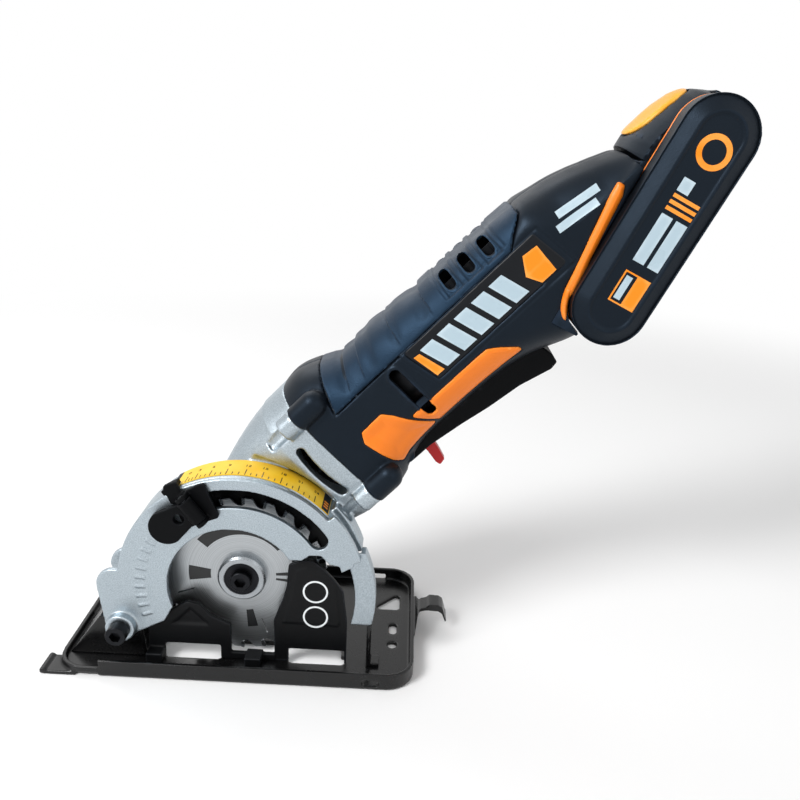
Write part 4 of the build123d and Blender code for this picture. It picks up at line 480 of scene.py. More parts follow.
@dataclass(frozen=True)
class BladeSteel:
    """Ground saw steel: fine rings about the arbor, and dark printed arcs."""

    name: str
    colour: str
    shade: str
    ink: str
    # Grinding lines are nearer 0.05 mm apart, too fine to show here, so they are drawn coarser.
    ring_mm: float = 0.4
    ring_depth_mm: float = 0.012
    roughness: tuple = (0.26, 0.46)
    bands: tuple = ((22.5, 29.0, 40.0, 140.0), (16.0, 27.0, 171.0, 180.0), (16.0, 27.0, -180.0, -171.0),
                    (16.5, 24.0, 2.0, 7.0), (16.5, 24.0, -7.0, -3.0), (20.0, 30.0, -86.0, -76.0))

    def make(self) -> Material:
        """Builds the material.

        Returns:
            The material.
        """
        surface = Surface(self.name)
        parts = surface.add("SeparateXYZ", {"Vector": surface.laid_out(Axes.ARBOR)}, "X")
        along, up = parts, parts.node.outputs["Z"]
        flat = surface.add("CombineXYZ", {"X": along, "Z": up})
        radius = surface.add("VectorMath", {0: flat}, "Value", operation="LENGTH")
        rings = surface.add("TexNoise", {"Vector": surface.add("CombineXYZ", {"X": radius}),
                                         "Scale": per_mm(self.ring_mm), "Detail": 4.0})
        tone = surface.add("MapRange", {"Value": rings, **NOISE_CORE})
        steel = surface.add("Mix", {FACTOR: tone, FIRST: to_linear(self.shade),
                                    SECOND: to_linear(self.colour)}, MIXED, data_type="RGBA")
        turn = surface.add("Math", {0: up, 1: along}, operation="ARCTAN2")
        print_here = None
        for inner, outer, first, last in self.bands:
            middle, half = math.radians(first + last) / 2, math.radians(last - first) / 2
            ring = surface.add("Math", {0: radius, 1: (inner + outer) / 2 * MM, 2: (outer - inner) / 2 * MM},
                               operation="COMPARE")
            arc = surface.add("Math", {0: turn, 1: middle, 2: half}, operation="COMPARE")
            mark = surface.add("Math", {0: ring, 1: arc}, operation="MULTIPLY")
            if print_here is not None:
                mark = surface.add("Math", {0: print_here, 1: mark}, operation="MAXIMUM")
            print_here = mark
        colour = surface.add("Mix", {FACTOR: print_here, FIRST: steel,
                                     SECOND: to_linear(self.ink)}, MIXED, data_type="RGBA")
        bare = surface.add("Math", {0: 1.0, 1: print_here}, operation="SUBTRACT")
        rough = surface.add("MapRange", {"Value": rings, **NOISE_CORE,
                                         "To Min": self.roughness[0], "To Max": self.roughness[1]})
        return surface.finish({"Base Color": colour, "Metallic": bare, "Roughness": rough},
                              rings, self.ring_depth_mm)


# Glass-filled nylon, moulded: a deep navy black with a soft bluish shine and a fine spark-eroded grain.
NYLON = Moulded("glass_filled_nylon", "#0c0f13", "#1f2a38", 0.4, 0.45, 0.06, shine="#b3d2f4", level=0.26)
# Overmoulded elastomer: the same navy, duller, with a hazy edge light.
ELASTOMER = Moulded("overmoulded_elastomer", "#111f2d", "#293f55", 0.46, 0.55, 0.1, 0.08, "#93c4f6", 0.34)
# ABS, moulded and satin: an even warm orange.
ORANGE_ABS = Moulded("orange_abs", "#ec7a14", "#ff9c3f", 0.36, level=0.35)
# ABS, moulded and satin: a yellow orange that stands apart from the trims.
AMBER_ABS = Moulded("amber_abs", "#f0a01c", "#fbbd58", 0.34, level=0.35)
# ABS, moulded: a plain signal red.
RED_ABS = Moulded("red_abs", "#b81419", "#d83c38", 0.34, level=0.3)
# Acetal, moulded: a flat black that shows its form only by its edges.
BLACK_ACETAL = Moulded("black_acetal", "#08090b", "#1e2126", 0.5, level=0.07)
# Film print, screened: a satin dark ground under the badge's bars.
DARK_FILM = Moulded("screened_dark_film", "#0a0d12", "#171c24", 0.34, 0.4, 0.01)
# Foil print, hot stamped: a pale cool silver.
SILVER_FOIL = Moulded("hot_stamped_foil", "#a9bdc8", "#bccdd6", 0.3, 0.4, 0.01, level=0.4)
# Ink print, screened: a flat orange.
ORANGE_INK = Moulded("screened_orange_ink", "#f0891a", "#f5a048", 0.42, 0.4, 0.01)
# Ink print, screened: a flat black.
BLACK_INK = Moulded("screened_black_ink", "#16171a", "#24262a", 0.5, 0.4, 0.01)
# Ink print, screened: a flat white.
WHITE_INK = Moulded("screened_white_ink", "#d9dee0", "#e4e8ea", 0.45, 0.4, 0.01)
# Vinyl strip, printed: a flat bright yellow.
YELLOW_VINYL = Moulded("printed_yellow_vinyl", "#f2bd17", "#f7d04c", 0.4, 0.8, 0.01, blotch_mm=14.0)
# Aluminium, die cast and blasted: a light cool grey with fine sparkle, and painted shade darkening its
# hollows.
DIE_CAST = CastMetal("die_cast_aluminium", "#bcc6cc", "#8f9aa2", "#3c4145", 0.4)
# Steel, pressed and enamelled: a wet black that rubs grey on its edges.
ENAMEL = Enamel("black_enamel", "#070708", "#3c3e41", 0.24)
# Polypropylene, moulded: a dull black with a coarse grain.
MATT_BLACK = Moulded("grained_polypropylene", "#090a0c", "#25282d", 0.5, 0.7, 0.05, level=0.16)
# Steel, zinc plated: a bright cool grey with fine tool lines.
ZINC = Machined("zinc_plated_steel", "#b7bcc0", "#8d9296", 0.28)
# Steel, blackened in a hot bath: nearly black, with a dull metal shine.
BLACK_OXIDE = Machined("black_oxide_steel", "#2d2e31", "#1b1c1e", 0.36)
# Tungsten carbide, ground: a dark grey with a sharp shine.
CARBIDE = Machined("ground_carbide", "#8b8e91", "#66696c", 0.25)
# Copper, bare: a warm red metal.
COPPER = Machined("bare_copper", "#c7794a", "#9a5a36", 0.35)
# Bronze, sintered: a dull yellow metal with open pores.
BRONZE = Machined("sintered_bronze", "#9c7a48", "#75592f", 0.5, 0.5)
# Ferrite, fired: a dull dark grey.
FERRITE = Moulded("fired_ferrite", "#26272a", "#3a3b3f", 0.6)
# Shrink film over a steel can: a glossy blue.
CELL_FILM = Moulded("cell_film", "#28507c", "#3f6ea3", 0.3)
# Saw steel, ground: bright rings about the arbor under dark print.
SAW_STEEL = BladeSteel("ground_saw_steel", "#c3c7ca", "#8f9396", "#141517")

Finish = Moulded | CastMetal | Enamel | Machined | BladeSteel


def edge_distance(u: np.ndarray, v: np.ndarray, outline: Outline) -> np.ndarray:
    """Measures how far points lie from a closed outline.

    Args:
        u: First coordinates.
        v: Second coordinates.
        outline: The outline's corners in order.

    Returns:
        The distances, negative inside the outline.
    """
    nearest = np.full(u.shape, np.inf)
    inside = np.zeros(u.shape, bool)
    for (from_u, from_v), (to_u, to_v) in zip(outline, [*outline[1:], outline[0]]):
        du, dv = to_u - from_u, to_v - from_v
        share = np.clip(((u - from_u) * du + (v - from_v) * dv) / (du * du + dv * dv), 0.0, 1.0)
        nearest = np.minimum(nearest, np.hypot(u - from_u - share * du, v - from_v - share * dv))
        if dv:
            inside ^= ((from_v > v) != (to_v > v)) & (u < from_u + (v - from_v) * du / dv)
    return np.where(inside, -nearest, nearest)


def eased(value: np.ndarray, low: float, high: float) -> np.ndarray:
    """Rises smoothly from 0 at low to 1 at high."""
    share = np.clip((value - low) / (high - low), 0.0, 1.0)
    return share * share * (3.0 - 2.0 * share)


def ridge(gap: np.ndarray, width: float) -> np.ndarray:
    """A rounded ridge, 1 where the gap is 0 and nearly 0 two widths away."""
    return np.exp(-(gap / width) ** 2)


def apply_modifiers(piece: Object) -> None:
    """Replaces a piece's mesh by the one that its modifiers give.

    Args:
        piece: The piece, which loses its modifiers.
    """
    bpy.context.view_layer.update()
    graph = bpy.context.evaluated_depsgraph_get()
    made = bpy.data.meshes.new_from_object(piece.evaluated_get(graph), depsgraph=graph)
    old = piece.data
    piece.modifiers.clear()
    piece.data = made
    bpy.data.meshes.remove(old)
    made.name = piece.name
    made.shade_smooth()


def read_points(piece: Object, axes: Axes) -> tuple[np.ndarray, ...]:
    """Reads a mesh piece's points.

    Args:
        piece: The piece, which lies in the row frame.
        axes: The axes to measure along.

    Returns:
        Rows of places in metres, rows of unit normals, and the distances along, to the side and up, in
        millimetres.
    """
    count = len(piece.data.vertices)
    places, normals = np.empty(count * 3), np.empty(count * 3)
    piece.data.vertices.foreach_get("co", places)
    piece.data.vertices.foreach_get("normal", normals)
    places = places.reshape(-1, 3)
    return places, normals.reshape(-1, 3), *axes.split(places)


def move_points(piece: Object, places: np.ndarray) -> None:
    """Writes a mesh piece's places back."""
    piece.data.vertices.foreach_set("co", places.ravel())
    piece.data.update()


def raise_points(piece: Object, places: np.ndarray, normals: np.ndarray, height: np.ndarray) -> None:
    """Moves a mesh piece's points out along their normals by heights in millimetres."""
    move_points(piece, places + normals * (height * MM)[:, None])


def smooth_points(piece: Object, passes: int, chosen: Optional[np.ndarray] = None) -> None:
    """Evens out a mesh, all over or where chosen.

    Args:
        piece: The piece.
        passes: How often each point moves towards its neighbours.
        chosen: Which points move, as a row of true and false.
    """
    even = piece.modifiers.new("even", "SMOOTH")
    even.factor = 0.5
    even.iterations = passes
    if chosen is not None:
        group = piece.vertex_groups.new(name="chosen")
        group.add(np.flatnonzero(chosen).tolist(), 1.0, "REPLACE")
        even.vertex_group = group.name
    apply_modifiers(piece)
    piece.vertex_groups.clear()


def thin_out(piece: Object, faces: int) -> None:
    """Brings a dense mesh down to about a number of triangles, fewest where it is flat.

    Args:
        piece: The piece.
        faces: The most triangles that it keeps.
    """
    now = 2 * len(piece.data.polygons)
    if now > faces:
        fewer = piece.modifiers.new("fewer", "DECIMATE")
        fewer.ratio = faces / now
        apply_modifiers(piece)


def mesh_piece(name: str, places: np.ndarray, faces: Sequence[Sequence[int]]) -> Object:
    """Makes a mesh object with outward faces.

    Args:
        name: The piece's name.
        places: Rows of places in metres.
        faces: Each face's corners by row number.

    Returns:
        The new object, in the scene.
    """
    mesh = bpy.data.meshes.new(name)
    mesh.from_pydata(places.tolist(), [], [list(face) for face in faces])
    work = bmesh.new()
    work.from_mesh(mesh)
    bmesh.ops.recalc_face_normals(work, faces=work.faces)
    work.to_mesh(mesh)
    work.free()
    piece = bpy.data.objects.new(name, mesh)
    bpy.context.scene.collection.objects.link(piece)
    return piece


def ring_faces(rings: int, sides: int, closed: bool = False) -> list[list[int]]:
    """Lists the faces of a skin over rings of points.

    Args:
        rings: How many rings there are, one after another.
        sides: How many points each ring has.
        closed: Whether the last ring joins the first. If it doesn't, both ends are capped.

    Returns:
        Each face's corners by row number.
    """
    faces = []
    for ring in range(rings if closed else rings - 1):
        here, there = ring * sides, (ring + 1) % rings * sides
        for side in range(sides):
            after = (side + 1) % sides
            faces.append([here + side, here + after, there + after, there + side])
    if not closed:
        faces += [list(range(sides)), list(range((rings - 1) * sides, rings * sides))]
    return faces


class Patches:
    """Thin raised patches that follow a surface, gathered into one mesh."""

    def __init__(self, placer: Placer, height_mm: float, sink_mm: float = 0.15, step_mm: float = 1.5) -> None:
        """Starts an empty set.

        Args:
            placer: Turns two surface coordinates and a height into places.
            height_mm: How far the patches stand proud.
            sink_mm: How far they reach into the surface.
            step_mm: The spacing of their points.
        """
        self.placer = placer
        self.height = height_mm
        self.sink = sink_mm
        self.step = step_mm
        self.places: list[np.ndarray] = []
        self.faces: list[list[int]] = []
        self.count = 0

    def add_quad(self, corners: Outline) -> None:
        """Adds a four-cornered patch, as a fine grid with a top, a bottom and sides.

        Args:
            corners: Its corners in order, in surface coordinates.
        """
        first, second, third, fourth = (np.array(corner, float) for corner in corners)
        across = max(np.hypot(*(second - first)), np.hypot(*(third - fourth)))
        down = max(np.hypot(*(fourth - first)), np.hypot(*(third - second)))
        columns, rows = (max(1, math.ceil(length / self.step)) for length in (across, down))
        a = np.linspace(0.0, 1.0, columns + 1)[:, None, None]
        b = np.linspace(0.0, 1.0, rows + 1)[None, :, None]
        grid = (first * (1 - a) + second * a) * (1 - b) + (fourth * (1 - a) + third * a) * b
        u, v = grid[..., 0].ravel(), grid[..., 1].ravel()
        size = len(u)
        top = self.count
        self.places += [self.placer(u, v, self.height), self.placer(u, v, -self.sink)]
        self.count += 2 * size

        def cell(i: int, j: int) -> int:
            """The row number of a point of the grid's top."""
            return top + i * (rows + 1) + j

        for i in range(columns):
            for j in range(rows):
                ring = [cell(i, j), cell(i + 1, j), cell(i + 1, j + 1), cell(i, j + 1)]
                self.faces += [ring, [corner + size for corner in reversed(ring)]]
        border = ([cell(i, 0) for i in range(columns)] + [cell(columns, j) for j in range(rows)]
                  + [cell(i, rows) for i in range(columns, 0, -1)] + [cell(0, j) for j in range(rows, 0, -1)])
        for here, after in zip(border, border[1:] + border[:1]):
            self.faces.append([after, here, here + size, after + size])

    def add_box(self, u_from: float, u_to: float, v_from: float, v_to: float) -> None:
        """Adds a patch with its sides along the two coordinates."""
        self.add_quad(((u_from, v_from), (u_to, v_from), (u_to, v_to), (u_from, v_to)))

    def add_ring(self, centre: tuple[float, float], inner: float, outer: float, sides: int = 48) -> None:
        """Adds a flat ring as one closed band.

        Args:
            centre: Its middle, in surface coordinates.
            inner: Its inner radius.
            outer: Its outer radius.
            sides: How many points go round it.
        """
        turn = np.linspace(0.0, 2 * math.pi, sides, endpoint=False)
        loops = ((inner, self.height), (outer, self.height), (outer, -self.sink), (inner, -self.sink))
        for radius, height in loops:
            u, v = centre[0] + radius * np.cos(turn), centre[1] + radius * np.sin(turn)
            self.places.append(self.placer(u, v, height))
        for face in ring_faces(len(loops), sides, True):
            self.faces.append([self.count + corner for corner in face])
        self.count += len(loops) * sides

    def add_text(self, text: str, u: float, v: float, size_mm: float, u_per_mm: float = 1.0) -> None:
        """Adds plain numerals with their middle at a place.

        Args:
            text: The numerals.
            u: The first coordinate of their middle.
            v: The second coordinate of their middle.
            size_mm: The numerals' type size.
            u_per_mm: The change in the first coordinate over a millimetre along the line.
        """
        curve = bpy.data.curves.new("numeral", "FONT")
        curve.body = text
        curve.size = size_mm
        curve.align_x = "CENTER"
        curve.align_y = "CENTER"
        curve.extrude = self.height / 2
        writing = bpy.data.objects.new("numeral", curve)
        bpy.context.scene.collection.objects.link(writing)
        bpy.context.view_layer.update()
        mesh = bpy.data.meshes.new_from_object(writing)
        for point in mesh.vertices:
            x, y, z = point.co
            at = np.array([u + x * u_per_mm]), np.array([v + y])
            self.places.append(self.placer(*at, z + self.height / 2))
        self.faces += [[self.count + corner for corner in face.vertices] for face in mesh.polygons]
        self.count += len(mesh.vertices)
        bpy.data.objects.remove(writing)
        bpy.data.meshes.remove(mesh)
        bpy.data.curves.remove(curve)

    def make(self, name: str) -> Object:
        """Makes the gathered patches into one piece."""
        return mesh_piece(name, np.concatenate(self.places), self.faces)


class Bench:
    """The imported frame, and the steps that every piece goes through."""

    def __init__(self, frame: dict) -> None:
        """Takes the frame in.
        """
        self.nodes: dict[str, Object] = frame["nodes"]
        record = frame["record"]
        self.slots = {row["node"]: row["material_slot"] for row in record["subparts"]}
        self.bodies = {node: body for body, nodes in record["behaviour"]["bodies"].items() for node in nodes}
        self.made: dict[str, Material] = {}

    def material(self, finish: Finish) -> Material:
        """Makes a finish once, and gives it again when it is asked for again.

        Args:
            finish: The finish.

        Returns:
            Its material.
        """
        if finish.name not in self.made:
            self.made[finish.name] = finish.make()
        return self.made[finish.name]

    def dress(self, finish: Finish, *names: str) -> None:
        """Gives CAD nodes that keep their shape a finish.

        Args:
            finish: The finish.
            *names: The nodes.
        """
        for name in names:
            self.nodes[name].data.materials.clear()
            self.nodes[name].data.materials.append(self.material(finish))
            LOG.info("%s in %s", name, finish.name)

    def soft_copy(self, node: str, soft: Softness) -> Object:
        """Copies a CAD node as a fine even mesh with softened edges.

        Args:
            node: The node's name.
            soft: The new mesh's spacing and smoothing.

        Returns:
            The new piece, in the row frame.
        """
        part = self.nodes[node]
        work = bmesh.new()
        work.from_mesh(part.data)
        work.transform(part.matrix_world)
        bmesh.ops.remove_doubles(work, verts=work.verts, dist=WELD)
        mesh = bpy.data.meshes.new(node + "_soft")
        work.to_mesh(mesh)
        work.free()
        piece = bpy.data.objects.new(node + "_soft", mesh)
        bpy.context.scene.collection.objects.link(piece)
        remesh = piece.modifiers.new("remesh", "REMESH")
        remesh.mode = "VOXEL"
        remesh.voxel_size = soft.voxel_mm * MM
        smooth_points(piece, soft.passes)
        return piece

    def stand_in(self, piece: Object, node: str, finish: Finish, faces: int = MOST_FACES) -> None:
        """Lets a piece take a CAD node's place and body.

        Args:
            piece: The piece.
            node: The CAD node that it stands in for.
            finish: Its finish.
            faces: The most triangles that it keeps.
        """
        thin_out(piece, faces)
        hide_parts(node)
        self.fit(piece, node, finish)

    def fit(self, piece: Object, node: str, finish: Finish) -> None:
        """Puts a finished piece on a body.

        Args:
            piece: The piece.
            node: The CAD node whose body it rides on.
            finish: Its finish.
        """
        body = self.bodies[node]
        piece.data.materials.clear()
        piece.data.materials.append(self.material(finish))
        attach(piece, body)
        LOG.info("%s on %s in %s, %d faces", piece.name, body, finish.name, len(piece.data.polygons))

    def soften(self, finish: Finish, soft: Softness, *names: str) -> None:
        """Replaces CAD nodes by softened copies in one finish."""
        for name in names:
            self.stand_in(self.soft_copy(name, soft), name, finish, soft.faces)


@dataclass
class Handle:
    """The moulded body halves with their soft grip, orange trims and badge.

    Lines and places are along and up the handle's axes. Sizes are in millimetres.
    """

    bench: Bench
    shell_soft: Softness = Softness(0.6, 5)
    grip_soft: Softness = Softness(0.5, 6, 120000)
    trim_soft: Softness = Softness(0.45, 5, 60000)
    badge_soft: Softness = Softness(0.45, 4, 30000)
    axis_up: float = 12.0
    side_from: float = 18.0
    side_facing: float = 0.35
    neck_from: float = 203.0
    neck_top: float = 28.0
    neck_facing: float = 0.15
    neck_passes: int = 160
    pack_gap: float = 24.0
    foot_gap: float = 2.5
    neck_sag: tuple = ((214.0, 0.0), (232.0, 0.9), (242.0, 1.7), (250.0, 1.9), (258.0, 1.1), (266.0, 0.3))
    neck_fall: float = 4.5
    neck_half: float = 20.0
    heel_centre: float = -40.0
    heel_turn: tuple = (96.0, 166.0)
    heel_inner: float = 17.9
    heel_back: float = 18.6
    heel_top: float = 17.6
    heel_least: float = 0.2
    heel_side: float = 25.6
    heel_wall: float = 2.7
    heel_step: float = 3.0
    bead_turn: tuple = (96.0, 139.0)
    bead_reach: tuple = (18.8, 19.5)
    bead_side: float = 28.2
    bead_half: tuple = (1.6, 2.1)
    bead_close: float = 1.02
    bead_rings: int = 16
    bead_sides: int = 14
    bridge: tuple = (122.4, 130.6, 1.6, 4.4)
    bridge_side: float = 25.6
    bridge_wall: float = 2.0
    foot_line: tuple = ((202, -14.5), (201.5, -10), (208, -2.6), (216, 0.7), (248, 14.7), (254, 16.7),
                        (254.7, 13.4), (251.5, 10.8), (223.4, -0.5), (213.9, -5.2))
    scoop_line: tuple = ((95.7, 12), (108.6, 12.2), (112.4, 7.5), (116, 0.8), (123.2, -11), (103.4, -12.3),
                         (98.1, -14), (95.7, -9.4), (92.8, 7))
    strip_line: tuple = ((117.2, 1.3), (164.7, 1.3), (169.2, -2), (175.8, -8.8), (176.5, -11.3),
                         (142.2, -10.8), (124.8, -11))
    trim_facing: float = 0.3
    trim_passes: int = 2
    scoop_depth: float = 1.1
    scoop_slope: tuple = (0.8, 7.0)
    strip_rise: float = 0.6
    strip_edge: float = 1.8
    foot_rise: float = 1.9
    foot_edge: float = 2.2
    frame_line: tuple = ((138.4, 3.6), (133.6, 26.2), (216.6, 26.2), (219.4, 3.6))
    frame_depth: float = 0.5
    frame_width: float = 0.6
    vent_centre: tuple = (126.5, 9.0)
    vent_half: float = 11.7
    vent_radius: float = 3.7
    rim_height: float = 0.6
    rim_width: float = 0.8
    grip_line: tuple = ((93, 26.5), (202, 26), (207, 30), (215, 35), (216, 42), (216, 70), (107, 70))
    grip_facing: float = 0.3
    grip_passes: int = 60
    seam_gap: float = 2.0
    seam_depth: float = 0.7
    seam_width: float = 0.5
    flutes: tuple = ((108.0, 0.42), (117.0, 0.32), (138.6, 0.1), (158.7, 0.05))
    flute_level: float = 35.0
    flute_length: float = 13.0
    flute_depth: float = 1.25
    flute_slope: tuple = (27.5, 37.0)
    panel_line: tuple = ((167.5, 30.0), (167.5, 60.0), (201.5, 60.0), (201.5, 30.0))
    panel_gap: float = 1.0
    panel_depth: float = 0.35
    panel_edge: float = 0.8
    groove_depth: float = 0.5
    groove_width: float = 0.6
    vents: tuple = ((173.0, 35.2), (184.2, 35.0), (195.5, 34.5))
    vent_pocket: tuple = (4.3, 5.9)
    pocket_depth: float = 0.8
    pocket_slope: tuple = (-0.3, 0.4)
    screen: tuple = (167.0, 202.0, 24.0, 34.0)
    screen_side: float = 17.0
    screen_half: float = 0.4
    screen_step: float = 20.0
    slat_margin: float = 1.0
    slat_pitch: float = 2.8
    slat_width: float = 0.9
    slat_levels: tuple = (1.4, -0.3)
    foil_height: float = 0.25
    bar_slant: float = 4.0
    bar_low: float = 7.6
    bar_high: float = 21.6
    bar_width: float = 7.6
    bar_pitch: float = 10.4
    bar_first: float = 147.0
    bar_count: int = 5
    badge_ends: tuple = (((140.6, 7.6), (145.0, 7.6), (141.6, 20.6), (138.4, 21.0)),
                         ((202.8, 6.6), (211.0, 6.6), (211.3, 13.4), (199.3, 13.4)),
                         ((199.3, 13.4), (211.3, 13.4), (211.7, 20.4), (204.2, 21.2)))
    stripe_height: float = 0.2
    near_stripes: tuple = (((226.0, 22.0), (246.5, 18.4), (247.3, 21.6), (226.6, 25.2)),
                           ((222.2, 17.4), (242.4, 14.6), (243.0, 17.8), (222.8, 20.8)))
    # These keep clear of a screw hole.
    far_stripes: tuple = (((226.0, 23.0), (246.5, 19.9), (247.3, 23.1), (226.6, 26.2)),
                          ((222.2, 17.4), (235.0, 15.6), (235.6, 18.9), (222.8, 20.8)))

    def build(self) -> None:
        """Builds the handle's pieces."""
        for side in Side:
            self.build_shell(side)
        for side in Side:
            self.build_screen(side)
        self.build_grips()
        self.build_trims()
        self.build_badges()
        for side in Side:
            self.build_heel(side)

    def outward(self, normals: np.ndarray, aside: np.ndarray, up: np.ndarray) -> np.ndarray:
        """How far each normal points away from the handle's middle line.

        Args:
            normals: Rows of unit normals.
            aside: The points' distances to the side.
            up: The points' distances up.

        Returns:
            The shares, from -1 to 1.
        """
        lift = up - self.axis_up
        reach = np.hypot(aside, lift) + TINY
        return (normals[:, 1] * aside + Axes.HANDLE.upward(normals) * lift) / reach

    def build_shell(self, side: Side) -> None:
        """Builds one body half: a crowned neck, a fine line round the badge and a rim round the vent.

        Args:
            side: The half's side.
        """
        node = side.named("body_shell")
        piece = self.bench.soft_copy(node, self.shell_soft)
        places, normals, along, aside, up = read_points(piece, Axes.HANDLE)
        _, _, above_pack = Axes.PACK.split(places)
        neck = ((along > self.neck_from) & (self.outward(normals, aside, up) > self.neck_facing)
                & (above_pack > self.pack_gap) & (edge_distance(along, up, self.foot_line) > self.foot_gap))
        smooth_points(piece, self.neck_passes, neck)
        _, _, along, aside, up = read_points(piece, Axes.HANDLE)
        sag = np.interp(along, *zip(*self.neck_sag)) + self.neck_fall * (aside / self.neck_half) ** 2
        sag *= eased(along, self.neck_sag[0][0], self.neck_sag[1][0]) * eased(up, self.axis_up, self.neck_top)
        move_points(piece, Axes.HANDLE.join(along, aside, up - sag))
        places, normals, along, aside, up = read_points(piece, Axes.HANDLE)
        facing = (normals[:, 1] * np.sign(aside) > self.side_facing) & (np.abs(aside) > self.side_from)
        depth = self.frame_depth * ridge(edge_distance(along, up, self.frame_line), self.frame_width)
        beyond = np.maximum(np.abs(up - self.vent_centre[1]) - self.vent_half, 0.0)
        rim = np.hypot(along - self.vent_centre[0], beyond) - self.vent_radius
        depth += self.seam_depth * ridge(edge_distance(along, up, self.grip_line), self.seam_width)
        depth -= self.rim_height * ridge(rim, self.rim_width)
        raise_points(piece, places, normals, -depth * facing)
        self.build_stripes(piece, side)
        self.bench.stand_in(piece, node, NYLON, self.shell_soft.faces)

    def build_grips(self) -> None:
        """Builds the soft grip with its flutes and the sunk panel that holds the vents."""
        piece = self.bench.soft_copy("soft_grips", self.grip_soft)
        _, normals, along, aside, up = read_points(piece, Axes.HANDLE)
        plain = ((self.outward(normals, aside, up) > self.grip_facing)
                 & (edge_distance(along, up, self.grip_line) < -self.seam_gap)
                 & (along < self.panel_line[0][0] - self.panel_gap))
        smooth_points(piece, self.grip_passes, plain)
        places, normals, along, aside, up = read_points(piece, Axes.HANDLE)
        depth = self.seam_depth * ridge(edge_distance(along, up, self.grip_line), self.seam_width)
        flutes = np.zeros(len(places))
        for start, lean in self.flutes:
            ahead = start + lean * (up - self.flute_level) - along
            flutes += np.where(ahead > 0.0, np.clip(1.0 - ahead / self.flute_length, 0.0, 1.0) ** 2, 0.0)
        depth += flutes * self.flute_depth * eased(up, *self.flute_slope)
        panel = edge_distance(along, up, self.panel_line)
        depth += self.panel_depth * eased(-panel, 0.0, self.panel_edge)
        depth += self.groove_depth * ridge(panel, self.groove_width)
        half_along, half_up = self.vent_pocket
        for vent_along, vent_up in self.vents:
            reach = np.maximum(np.abs(along - vent_along) - half_along, np.abs(up - vent_up) - half_up)
            depth += self.pocket_depth * eased(-reach, *self.pocket_slope)
        facing = self.outward(normals, aside, up) > self.grip_facing
        raise_points(piece, places, normals, -depth * facing)
        smooth_points(piece, 1)
        self.bench.stand_in(piece, "soft_grips", ELASTOMER, self.grip_soft.faces)

    def build_trims(self) -> None:
        """Builds the orange trims: a hollowed scoop, a raised strip and a rounded bead by the pack."""
        piece = self.bench.soft_copy("side_trims", self.trim_soft)
        places, normals, along, aside, up = read_points(piece, Axes.HANDLE)
        facing = normals[:, 1] * np.sign(aside) > self.trim_facing
        scoop, strip, foot = (-edge_distance(along, up, line)
                              for line in (self.scoop_line, self.strip_line, self.foot_line))
        rise = (self.strip_rise * np.clip(strip / self.strip_edge, 0.0, 1.0)
                - self.scoop_depth * eased(scoop, *self.scoop_slope)
                + self.foot_rise * np.sqrt(np.clip(foot / self.foot_edge, 0.0, 1.0)))
        raise_points(piece, places, normals, rise * facing)
        smooth_points(piece, self.trim_passes)
        self.bench.stand_in(piece, "side_trims", ORANGE_ABS, self.trim_soft.faces)

    def build_badges(self) -> None:
        """Builds the badge ground with plain slanted bars and orange ends on both sides."""
        ground = self.bench.soft_copy("badges", self.badge_soft)
        low, high, slant = self.bar_low, self.bar_high, self.bar_slant
        for side in Side:
            on_badge = side.onto(ground)
            bars, ends = Patches(on_badge, self.foil_height), Patches(on_badge, self.foil_height)
            for number in range(self.bar_count):
                start = self.bar_first + number * self.bar_pitch
                stop = start + self.bar_width
                bars.add_quad(((start, low), (stop, low), (stop - slant, high), (start - slant, high)))
            self.bench.fit(bars.make(side.named("badge_bars")), "badges", SILVER_FOIL)
            for quad in self.badge_ends:
                ends.add_quad(quad)
            self.bench.fit(ends.make(side.named("badge_ends")), "badges", ORANGE_INK)
        self.bench.stand_in(ground, "badges", DARK_FILM, self.badge_soft.faces)

    def build_stripes(self, shell: Object, side: Side) -> None:
        """Builds two plain pale stripes on one side of the neck.

        Args:
            shell: The body half that they lie on.
            side: Its side.
        """
        stripes = Patches(side.onto(shell), self.stripe_height)
        for quad in self.near_stripes if side is Side.NEAR else self.far_stripes:
            stripes.add_quad(quad)
        self.bench.fit(stripes.make(side.named("neck_stripes")), "badges", SILVER_FOIL)

    def build_heel(self, side: Side) -> None:
        """Builds one side's heel round the pack's low end, the bead's end and the vent's bridge.

        Args:
            side: The side.
        """
        def on_heel(u: np.ndarray, v: np.ndarray, lift: float) -> np.ndarray:
            """Puts points on the heel.

            Args:
                u: Angles round the pack's low end, in degrees.
                v: Shares of the way outward, from 0 to 1.
                lift: The height above the heel's inner face.

            Returns:
                Rows of places in metres.
            """
            turn = np.radians(u)
            outer = np.minimum(self.heel_back / np.maximum(-np.cos(turn), TINY), self.heel_top / np.sin(turn))
            reach = self.heel_inner + v * np.maximum(outer - self.heel_inner, self.heel_least)
            aside = np.full_like(u, side.value * (self.heel_side + lift))
            return Axes.PACK.join(self.heel_centre + reach * np.cos(turn), aside, reach * np.sin(turn))

        heel = Patches(on_heel, self.heel_wall, 0.0, self.heel_step)
        heel.add_box(*self.heel_turn, 0.0, 1.0)
        self.bench.fit(heel.make(side.named("heel")), "body_shell_near", NYLON)
        self.build_bead_end(side)
        bridge = Patches(side.flat(Axes.HANDLE, self.bridge_side), self.bridge_wall, 0.0)
        bridge.add_box(*self.bridge)
        self.bench.fit(bridge.make(side.named("vent_bridge")), "body_shell_near", NYLON)

